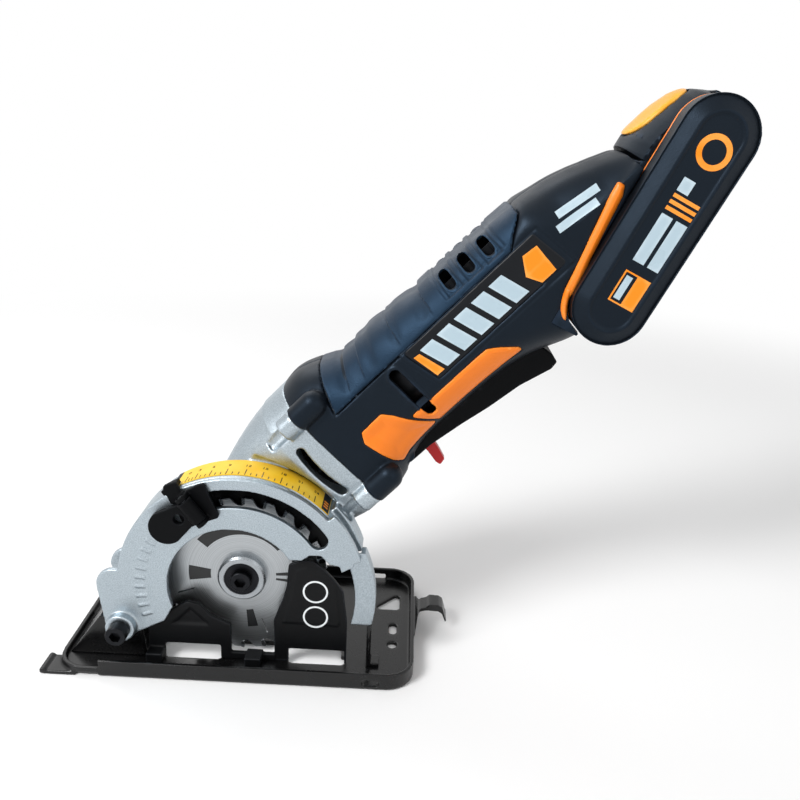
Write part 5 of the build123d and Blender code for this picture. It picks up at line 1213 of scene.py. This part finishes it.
    def build_bead_end(self, side: Side) -> None:
        """Builds the round end of one orange bead, which bends down round the pack's low end.

        Args:
            side: The bead's side.
        """
        share = np.linspace(0.0, 1.0, self.bead_rings)[:, None]
        around = np.linspace(0.0, 2 * math.pi, self.bead_sides, endpoint=False)[None, :]
        turn = np.radians(np.interp(share, (0.0, 1.0), self.bead_turn))
        out, across = (half * np.sqrt(self.bead_close - share ** 4) for half in self.bead_half)
        reach = np.interp(share, (0.0, 1.0), self.bead_reach) + out * np.cos(around)
        places = Axes.PACK.join(self.heel_centre + reach * np.cos(turn),
                                side.value * (self.bead_side + across * np.sin(around)), reach * np.sin(turn))
        bead = mesh_piece(side.named("bead_end"), places.reshape(-1, 3),
                          ring_faces(self.bead_rings, self.bead_sides))
        bead.data.shade_smooth()
        self.bench.fit(bead, "side_trims", ORANGE_ABS)

    def build_screen(self, side: Side) -> None:
        """Builds the slatted dust screen behind one side's vents.

        Args:
            side: The side.
        """
        behind = side.flat(Axes.HANDLE, self.screen_side)
        start, stop, low, high = self.screen
        screen = Patches(behind, self.screen_half, self.screen_half, self.screen_step)
        screen.add_box(start, stop, low, high)
        slats = Patches(behind, *self.slat_levels, self.screen_step)
        for slat in np.arange(start + self.slat_margin, stop - self.slat_margin, self.slat_pitch):
            slats.add_box(slat, slat + self.slat_width, low, high)
        self.bench.fit(screen.make(side.named("vent_screen")), "body_shell_near", MATT_BLACK)
        self.bench.fit(slats.make(side.named("vent_slats")), "body_shell_near", BLACK_ACETAL)


@dataclass
class BatteryPack:
    """The slide-on pack: two capped sides, a core with its rings, and the release button.

    Places are along, to the side and up the pack's axes. Sizes are in millimetres.
    """

    bench: Bench
    core_soft: Softness = Softness(0.5, 5)
    cap_soft: Softness = Softness(0.5, 3)
    ring_soft: Softness = Softness(0.4, 3, 30000)
    half_length: float = 40.0
    half_height: float = 17.0
    half_width: float = 37.0
    cap_band: float = 4.5
    cap_facing: float = 0.02
    cap_edge: float = 0.2
    cap_passes: int = 3
    bevel_width: float = 6.5
    bevel_drop: float = 3.8
    face_sink: float = 0.8
    sink_slope: tuple = (0.8, 1.8)
    print_height: float = 0.2
    ring_centre: tuple = (33.8, -1.0)
    ring_inner: float = 5.0
    ring_outer: float = 7.4
    label: tuple = (-37.3, -22.7, -8.4, 4.0)
    label_line: float = 0.7
    label_split: float = -2.2
    stripes: tuple = ((-18.0, 4.0, -1.4, 4.0), (-18.0, 4.0, -8.6, -3.2), (14.4, 20.4, -1.4, 4.0),
                      (-35.4, -24.6, -0.6, 2.4))
    tabs: tuple = ((6.0, 7.6, -8.6, 4.0), (8.8, 10.4, -8.6, 4.0), (11.6, 13.2, -8.6, 4.0))
    crown: tuple = ((16.9, 26.8), (20.8, 27.5), (25.8, 27.4), (30.4, 26.4), (37.9, 24.3), (43.6, 22.1),
                    (50.0, 18.4), (54.7, 14.2), (57.0, 9.0))
    crown_fall: float = 8.0
    crown_half: float = 22.8
    nose_from: float = 16.0
    nose_low: float = 8.2
    nose_facing: float = 0.25
    nose_margin: float = 1.5
    nose_passes: int = 40
    core_passes: int = 4
    pocket: tuple = (24.6, 48.2, 21.4, 15.8)
    button_centre: float = 40.2
    button_along: float = 14.2
    button_side: float = 12.4
    button_power: float = 0.8
    button_rise: float = 0.9
    button_depth: float = 2.2
    button_sides: int = 64
    button_under: tuple = (0.1, 0.3, 0.5, 0.7, 0.84, 0.94)
    button_top: tuple = ((1.0, 0.0), (0.985, 0.5), (0.95, 0.8), (0.88, 0.9), (0.8, 0.8), (0.7, 0.5),
                         (0.5, 0.35), (0.3, 0.3), (0.1, 0.3))
    well_gap: float = 0.9
    well_depth: float = 5.6
    well_band: float = 2.0

    def build(self) -> None:
        """Builds the pack's pieces."""
        self.build_caps()
        for side in Side:
            self.build_prints(side)
        self.build_core()
        self.build_button()
        self.bench.soften(ORANGE_ABS, self.ring_soft, "pack_rings")

    def crowned(self, along: np.ndarray, aside: np.ndarray) -> np.ndarray:
        """The height of the pack's crowned nose, above the pack's middle plane."""
        return np.interp(along, *zip(*self.crown)) - self.crown_fall * (aside / self.crown_half) ** 2

    def build_core(self) -> None:
        """Builds the core with a crowned nose and a lens-shaped well for the button."""
        piece = self.bench.soft_copy("pack_core", self.core_soft)
        _, normals, along, aside, up = read_points(piece, Axes.PACK)
        nose = (along > self.nose_from) & (up > self.nose_low)
        front, rear, half, floor = self.pocket
        pocket = (along > front) & (along < rear) & (np.abs(aside) < half) & (up > floor)
        level = self.crowned(along, aside)
        top = (Axes.PACK.upward(normals) > self.nose_facing) | pocket
        level = np.where(top, level, np.minimum(up, level))
        move_points(piece, Axes.PACK.join(along, aside, np.where(nose, level, up)))
        middle = np.abs(aside) < self.crown_half - self.nose_margin
        smooth_points(piece, self.nose_passes, nose & top & middle)
        smooth_points(piece, self.core_passes)
        _, _, along, aside, up = read_points(piece, Axes.PACK)
        power = 2.0 / self.button_power
        lens = ((np.abs(along - self.button_centre) / (self.button_along + self.well_gap)) ** power
                + (np.abs(aside) / (self.button_side + self.well_gap)) ** power)
        well = (lens < 1.0) & (np.abs(up - self.crowned(along, aside)) < self.well_band)
        move_points(piece, Axes.PACK.join(along, aside, up - self.well_depth * well))
        self.bench.stand_in(piece, "pack_core", NYLON, self.core_soft.faces)

    def build_button(self) -> None:
        """Builds the lens-shaped release button, which follows the nose's crown and is dished."""
        turn = np.linspace(0.0, 2 * math.pi, self.button_sides, endpoint=False)
        curve_along, curve_side = (np.sign(wave) * np.abs(wave) ** self.button_power
                                   for wave in (np.cos(turn), np.sin(turn)))
        rings = []
        for share, rise in (*((share, -self.button_depth) for share in self.button_under), *self.button_top):
            along = self.button_centre + self.button_along * share * curve_along
            aside = self.button_side * share * curve_side
            rings.append(Axes.PACK.join(along, aside, self.crowned(along, aside) + rise * self.button_rise))
        piece = mesh_piece("release_lens", np.concatenate(rings), ring_faces(len(rings), self.button_sides))
        piece.data.shade_smooth()
        self.bench.stand_in(piece, "release_button", AMBER_ABS)

    def inset(self, along: np.ndarray, up: np.ndarray) -> np.ndarray:
        """How far points lie inside the pack's round-ended outline."""
        return self.half_height - np.hypot(np.maximum(np.abs(along) - self.half_length, 0.0), up)

    def build_caps(self) -> None:
        """Builds the capped sides with a wide sloping rim round a sunk face."""
        piece = self.bench.soft_copy("pack_caps", self.cap_soft)
        _, normals, along, aside, up = read_points(piece, Axes.PACK)
        inside = self.inset(along, up)
        outer = np.abs(aside) > self.half_width - self.cap_band
        facing = outer & (normals[:, 1] * np.sign(aside) > self.cap_facing) & (inside > self.cap_edge)
        slope = self.half_width - self.bevel_drop * np.clip(1.0 - inside / self.bevel_width, 0.0, 1.0)
        slope -= self.face_sink * eased(inside - self.bevel_width, *self.sink_slope)
        level = np.where(facing, np.minimum(slope, self.half_width), np.abs(aside))
        move_points(piece, Axes.PACK.join(along, np.sign(aside) * level, up))
        smooth_points(piece, self.cap_passes)
        self.bench.stand_in(piece, "pack_caps", NYLON, self.cap_soft.faces)

    def build_prints(self, side: Side) -> None:
        """Builds the plain ring, label and stripes printed on one side.

        Args:
            side: The side.
        """
        on_face = side.flat(Axes.PACK, self.half_width - self.face_sink)
        orange, silver = Patches(on_face, self.print_height), Patches(on_face, self.print_height)
        orange.add_ring(self.ring_centre, self.ring_inner, self.ring_outer)
        low, high, right, left = self.label
        line, split = self.label_line, self.label_split
        for box in ((low, high, right, split), (low, high, left - line, left),
                    (low, low + line, split, left - line), (high - line, high, split, left - line),
                    *self.tabs):
            orange.add_box(*box)
        self.bench.fit(orange.make(side.named("pack_ink")), "pack_rings", ORANGE_INK)
        for box in self.stripes:
            silver.add_box(*box)
        self.bench.fit(silver.make(side.named("pack_foil")), "pack_caps", SILVER_FOIL)


@dataclass
class Guard:
    """The die-cast gear case and guard plate with the printed depth scale.

    Angles are in degrees about the arbor, and sizes in millimetres.
    """

    bench: Bench
    case_soft: Softness = Softness(0.6, 6, 110000)
    plate_soft: Softness = Softness(0.5, 6)
    rear_soft: Softness = Softness(0.45, 5, 40000)
    lock_soft: Softness = Softness(0.35, 6, 20000)
    scale_radius: float = 58.38
    number_angles: tuple = (115.0, 110.0, 103.1, 95.5, 86.8, 78.8, 70.0, 61.1, 52.1)
    number_step: int = 3
    number_size: float = 3.1
    number_at: float = 1.6
    tick_near: float = -8.4
    short_tick: float = 2.6
    long_tick: float = 6.0
    tick_width: float = 0.34
    ink_height: float = 0.06
    ink_sink: float = 0.1
    plate_facing: float = -0.6
    rib_count: int = 9
    rib_first: float = 150.0
    rib_pitch: float = 6.2
    rib_radius: float = 47.0
    rib_reach: float = 2.6
    rib_half: float = 0.8
    rib_rise: float = 0.5
    rib_slope: tuple = (-0.3, 0.3)
    end_blocks: tuple = ((47.6, 43.4, -8.6, 8.0), (122.8, 120.2, -8.6, 8.0))
    end_marks: tuple = ((46.8, 44.3, -5.5, -4.3), (46.8, 44.3, -3.1, -1.9), (46.8, 44.3, -0.7, 0.5))
    end_mark_height: float = 0.12
    # A black sheet behind the blade, given as angles and then radii: painted shade for the dark inside of the
    # arc slot.
    shade_sheet: tuple = (14.0, 140.0, 30.0, 50.0)
    shade_sheet_side: float = 2.6
    shade_sheet_wall: float = 0.5
    shade_sheet_step: float = 3.0

    def build(self) -> None:
        """Builds the cast pieces and the scale."""
        self.bench.soften(DIE_CAST, self.case_soft, "gear_case")
        self.build_plate()
        self.bench.soften(DIE_CAST, self.rear_soft, "rear_guard", "gear_cover")
        self.bench.dress(YELLOW_VINYL, "depth_scale")
        self.build_marks()
        # A black sheet of painted shade behind the blade.
        self.build_shade_sheet()
        self.bench.soften(BLACK_ACETAL, self.lock_soft, "lock_button")

    def build_shade_sheet(self) -> None:
        """Builds a black sheet behind the blade, painted shade that shows through the arc slot as its dark
        inside.
        """
        def behind_blade(u: np.ndarray, v: np.ndarray, lift: float) -> np.ndarray:
            """Puts points behind the blade: u is an angle in degrees and v a radius."""
            turn = np.radians(u)
            return Axes.ARBOR.join(v * np.cos(turn), self.shade_sheet_side + lift, v * np.sin(turn))

        shade_sheet = Patches(behind_blade, self.shade_sheet_wall, 0.0, self.shade_sheet_step)
        shade_sheet.add_box(*self.shade_sheet)
        self.bench.fit(shade_sheet.make("guard_liner"), "gear_case", MATT_BLACK)

    def build_plate(self) -> None:
        """Builds the guard plate with a row of plain raised ribs along its front arc."""
        piece = self.bench.soft_copy("guard_plate", self.plate_soft)
        places, normals, along, _, up = read_points(piece, Axes.ARBOR)
        reach, turn = np.hypot(along, up), np.degrees(np.arctan2(up, along)) % 360.0
        rise = np.zeros(len(places))
        for number in range(self.rib_count):
            aside = np.radians(turn - self.rib_first - number * self.rib_pitch) * reach
            beyond = np.maximum(np.abs(aside) - self.rib_half,
                                np.abs(reach - self.rib_radius) - self.rib_reach)
            rise += eased(-beyond, *self.rib_slope)
        raise_points(piece, places, normals, rise * self.rib_rise * (normals[:, 1] < self.plate_facing))
        self.bench.stand_in(piece, "guard_plate", DIE_CAST, self.plate_soft.faces)

    def on_scale(self, u: np.ndarray, v: np.ndarray, lift: float) -> np.ndarray:
        """Puts points on the scale: u is an angle in degrees and v a distance along Y."""
        reach, turn = self.scale_radius + lift, np.radians(u)
        return Axes.ARBOR.join(reach * np.cos(turn), v, reach * np.sin(turn))

    def build_marks(self) -> None:
        """Builds the scale's ticks, plain numbers and end blocks."""
        marks = Patches(self.on_scale, self.ink_height, self.ink_sink)
        per_degree = math.radians(self.scale_radius)
        half = self.tick_width / 2 / per_degree
        angles = self.number_angles
        for number, (angle, after) in enumerate(zip(angles, (*angles[1:], None))):
            marks.add_text(str(number * self.number_step), angle, self.number_at, self.number_size,
                           -1.0 / per_degree)
            for part in range(1 if after is None else self.number_step):
                at = angle + (after - angle) * part / self.number_step if part else angle
                far = self.tick_near + (self.short_tick if part else self.long_tick)
                marks.add_box(at + half, at - half, self.tick_near, far)
        for block in self.end_blocks:
            marks.add_box(*block)
        self.bench.fit(marks.make("scale_marks"), "depth_scale", BLACK_INK)
        end = Patches(self.on_scale, self.end_mark_height, 0.0)
        for bar in self.end_marks:
            end.add_box(*bar)
        self.bench.fit(end.make("scale_end_mark"), "depth_scale", ORANGE_INK)


@dataclass
class Sole:
    """The pressed sole with its bracket, the moulded shroud and the pivot. Sizes are in millimetres."""

    bench: Bench
    sheet_soft: Softness = Softness(0.55, 5)
    bracket_soft: Softness = Softness(0.5, 5, 50000)
    shroud_soft: Softness = Softness(0.45, 5, 50000)
    sunk_line: tuple = ((-34.5, 20.5), (-24.6, 31.0), (-15.8, 22.4), (-15.8, 20.5))
    sunk_depth: float = 0.9
    sunk_slope: tuple = (-0.4, 1.6)
    tall_line: tuple = ((20.5, 24.0), (24.5, 40.0), (27.0, 55.0), (33.0, 57.0), (42.0, 53.5), (47.5, 47.5),
                        (50.0, 26.0), (49.0, 23.0))
    tall_from: float = 17.0
    rim_depth: float = 0.6
    rim_slope: tuple = (-1.6, 0.2)
    wall_out: float = 9.6
    wall_band: float = 1.2
    wall_facing: float = -0.4
    ring_centres: tuple = ((37.2, 43.0), (37.4, 28.8))
    ring_radius: float = 6.2
    ring_width: float = 0.9
    ring_height: float = 0.1
    lip_from: float = 87.2
    lip_blend: float = 2.5
    lip_middle: float = 26.5
    lip_centre: float = 31.0
    lip_share: float = 0.3
    lip_plain: tuple = ((87.0, 0.0), (95.0, 0.0), (104.0, 8.7))
    lip_curl: tuple = ((87.0, 0.0), (88.5, 2.6), (90.5, 4.6), (93.0, 5.3), (100.0, 5.5), (102.0, 4.2),
                       (104.0, -0.5))

    def build(self) -> None:
        """Builds the sole's pieces."""
        self.build_plate()
        self.bench.soften(ENAMEL, self.bracket_soft, "pivot_bracket", "guard_bracket")
        self.build_shroud()
        self.bench.dress(ZINC, "pivot_nut", "bracket_rivets", "shroud_screws", "plunge_spring")
        self.bench.dress(BLACK_OXIDE, "pivot_bolt")

    def build_plate(self) -> None:
        """Builds the sole plate with its rear lip drawn in and curled over."""
        piece = self.bench.soft_copy("base_plate", self.sheet_soft)
        _, _, x, y, z = read_points(piece, Axes.OBJECT)
        lip = eased(x, self.lip_from, self.lip_from + self.lip_blend)
        pulled = self.lip_centre + (y - self.lip_middle) * self.lip_share
        curl = np.interp(x, *zip(*self.lip_curl)) - np.interp(x, *zip(*self.lip_plain))
        move_points(piece, Axes.OBJECT.join(x, y + (pulled - y) * lip, z + curl * (x > self.lip_from)))
        self.bench.stand_in(piece, "base_plate", ENAMEL, self.sheet_soft.faces)

    def build_shroud(self) -> None:
        """Builds the shroud with a sunk triangle in its low part and a sunk rim round its tall part."""
        piece = self.bench.soft_copy("lower_shroud", self.shroud_soft)
        places, normals, x, y, z = read_points(piece, Axes.OBJECT)
        on_wall = (normals[:, 1] < self.wall_facing) & (np.abs(y + self.wall_out) < self.wall_band)
        rim = (x > self.tall_from) * eased(edge_distance(x, z, self.tall_line), *self.rim_slope)
        sunk = eased(-edge_distance(x, z, self.sunk_line), *self.sunk_slope)
        raise_points(piece, places, normals, -(self.rim_depth * rim + self.sunk_depth * sunk) * on_wall)
        self.bench.stand_in(piece, "lower_shroud", MATT_BLACK, self.shroud_soft.faces)
        rings = Patches(Side.NEAR.flat(Axes.OBJECT, self.wall_out), self.ring_height)
        for centre in self.ring_centres:
            rings.add_ring(centre, self.ring_radius - self.ring_width, self.ring_radius)
        self.bench.fit(rings.make("shroud_rings"), "lower_shroud", WHITE_INK)


@dataclass
class DepthStop:
    """The sliding depth stop with its flip lever."""

    bench: Bench
    soft: Softness = Softness(0.3, 5, 30000)

    def build(self) -> None:
        """Builds the stop's pieces."""
        self.bench.soften(BLACK_ACETAL, self.soft, "depth_slider", "depth_lever")
        self.bench.dress(ZINC, "clamp_nut", "lever_pin")


@dataclass
class Trigger:
    """The paddle switch and its red lock-off tab."""

    bench: Bench
    paddle_soft: Softness = Softness(0.45, 6, 50000)
    tab_soft: Softness = Softness(0.3, 5, 12000)

    def build(self) -> None:
        """Builds the trigger's pieces."""
        self.bench.soften(BLACK_ACETAL, self.paddle_soft, "paddle_switch")
        self.bench.soften(RED_ABS, self.tab_soft, "lock_off_tab")
        self.bench.dress(ZINC, "paddle_pin")


@dataclass
class DriveLine:
    """The blade with its flanges and bolt, and the works inside the case, body and pack."""

    bench: Bench

    def build(self) -> None:
        """Dresses the pieces, whose CAD shapes stay."""
        self.bench.dress(SAW_STEEL, "saw_blade")
        self.bench.dress(CARBIDE, "carbide_tips")
        self.bench.dress(ZINC, "spindle", "inner_flange", "outer_flange", "spindle_gear", "bearings",
                         "bearing_retainer", "idler_shaft", "bevel_gear", "motor_pinion", "motor_shaft",
                         "cover_screws", "rotor_core")
        # The motor can takes the near-black finish as painted shade, so that the inside of the side vent
        # reads dark.
        self.bench.dress(BLACK_OXIDE, "blade_bolt", "shell_screws", "gear_screws", "motor_can")
        self.bench.dress(COPPER, "windings", "commutator", "terminal_blades")
        self.bench.dress(BRONZE, "drive_bushes")
        self.bench.dress(FERRITE, "motor_magnets", "motor_brushes")
        self.bench.dress(BLACK_ACETAL, "motor_end_bell", "cooling_fan", "switch_block", "terminal_block")
        self.bench.dress(CELL_FILM, "cells")


@dataclass(frozen=True)
class Lamp:
    """A soft square lamp: where it hangs and what it faces in metres, its side and its power in watts."""

    name: str
    place: tuple[float, float, float]
    aim: tuple[float, float, float]
    size: float
    power: float

    def hang(self) -> None:
        """Adds the lamp to the scene."""
        light = bpy.data.lights.new(self.name, "AREA")
        light.size = self.size
        light.energy = self.power
        lamp = bpy.data.objects.new(self.name, light)
        lamp.location = self.place
        facing = Vector(self.aim) - Vector(self.place)
        lamp.rotation_euler = facing.to_track_quat("-Z", "Y").to_euler()
        bpy.context.scene.collection.objects.link(lamp)


@dataclass
class Studio:
    """A white floor, soft lamps and a camera at the photograph's angle."""

    camera_at: tuple[float, float, float] = (75.0 * MM, -349.0 * MM, 261.0 * MM)
    yaw: float = math.radians(-0.2)
    pitch: float = math.radians(19.0)
    roll: float = math.radians(2.8)
    focal_px: float = 804.0
    frame_px: float = 800.0
    sensor_mm: float = 36.0
    floor_size: float = 12.0
    fade_from: float = 0.5
    fade_to: float = 0.95
    fade_centre: tuple[float, float, float] = (0.12, 0.05, 0.0)
    room_light: float = 0.53
    floor_colour: str = "#f7f7f7"
    floor_roughness: float = 0.9
    lamps: tuple[Lamp, ...] = (Lamp("key_lamp", (-0.85, -0.8, 1.1), (0.05, 0.02, 0.1), 0.55, 21.0),
                               Lamp("fill_lamp", (0.85, -0.95, 0.7), (0.08, 0.0, 0.14), 0.9, 2.0),
                               Lamp("back_lamp", (-0.45, 0.75, 1.0), (0.08, 0.02, 0.14), 0.7, 3.0))

    def build(self) -> None:
        """Adds the floor, the world, the lamps and the camera."""
        self.add_floor()
        self.add_world()
        for lamp in self.lamps:
            lamp.hang()
        self.add_camera()

    def add_floor(self) -> None:
        """Lays the white floor, which keeps the object's shadow and fades into the white room."""
        bpy.ops.mesh.primitive_plane_add(size=self.floor_size, location=(0.0, 0.0, 0.0))
        floor = bpy.context.object
        floor.name = "floor"
        surface = Surface("white_floor")
        where = surface.add("NewGeometry", output="Position")
        away = surface.add("VectorMath", {0: where, 1: self.fade_centre}, "Value", operation="DISTANCE")
        fade = surface.add("MapRange", {"Value": away, "From Min": self.fade_from, "From Max": self.fade_to},
                           interpolation_type="SMOOTHSTEP")
        seen = self.seen_directly(surface.tree)
        share = surface.add("Math", {0: fade, 1: seen}, operation="MULTIPLY")
        glow = surface.add("Emission", {"Color": WHITE, "Strength": 1.0})
        matt = surface.shader.outputs["BSDF"]
        mixed = surface.add("MixShader", {0: share, 1: matt, 2: glow})
        end = next(node for node in surface.tree.nodes if node.type == "OUTPUT_MATERIAL")
        surface.tree.links.new(mixed, end.inputs["Surface"])
        floor.data.materials.append(surface.finish({"Base Color": to_linear(self.floor_colour),
                                                    "Roughness": self.floor_roughness}))

    def seen_directly(self, tree: Tree) -> Socket:
        """Gives 1 for rays from the camera, from mirrors and through glass, and 0 for the rest.

        Args:
            tree: The node tree that takes the nodes.

        Returns:
            The output with the 1 or 0.
        """
        camera = add_node(tree, "LightPath", output="Is Camera Ray")
        outputs = camera.node.outputs
        first = add_node(tree, "Math", {0: camera, 1: outputs["Is Glossy Ray"]}, operation="MAXIMUM")
        return add_node(tree, "Math", {0: first, 1: outputs["Is Transmission Ray"]}, operation="MAXIMUM")

    def add_world(self) -> None:
        """Fills the room with soft white light and a white background."""
        world = bpy.data.worlds.new("studio")
        bpy.context.scene.world = world
        world.use_nodes = True
        tree = world.node_tree
        tree.nodes.clear()
        strength = add_node(tree, "MapRange", {"Value": self.seen_directly(tree), "To Min": self.room_light,
                                               "To Max": 1.0})
        room = add_node(tree, "Background", {"Color": WHITE, "Strength": strength})
        add_node(tree, "OutputWorld", {"Surface": room})

    def add_camera(self) -> None:
        """Sets the camera at the photograph's viewing angle."""
        ahead = math.cos(self.pitch)
        forward = Vector((math.sin(self.yaw) * ahead, math.cos(self.yaw) * ahead, -math.sin(self.pitch)))
        level = Vector((math.cos(self.yaw), -math.sin(self.yaw), 0.0))
        upright = level.cross(forward)
        right = level * math.cos(self.roll) + upright * math.sin(self.roll)
        up = upright * math.cos(self.roll) - level * math.sin(self.roll)
        lens = bpy.data.cameras.new("camera")
        lens.sensor_width = self.sensor_mm
        lens.lens = self.sensor_mm * self.focal_px / self.frame_px
        camera = bpy.data.objects.new("camera", lens)
        turn = Matrix((right, up, -forward)).transposed()
        camera.matrix_world = Matrix.Translation(self.camera_at) @ turn.to_4x4()
        bpy.context.scene.collection.objects.link(camera)
        bpy.context.scene.camera = camera


def main() -> None:
    """Builds the looks in order and notes the sizes."""
    logging.basicConfig(level=logging.INFO)
    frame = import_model()
    bpy.context.scene.view_settings.view_transform = "Standard"
    Studio().build()
    bench = Bench(frame)
    for assembly in (Handle, BatteryPack, Guard, Sole, DepthStop, Trigger, DriveLine):
        assembly(bench).build()


if __name__ == "__main__":
    main()
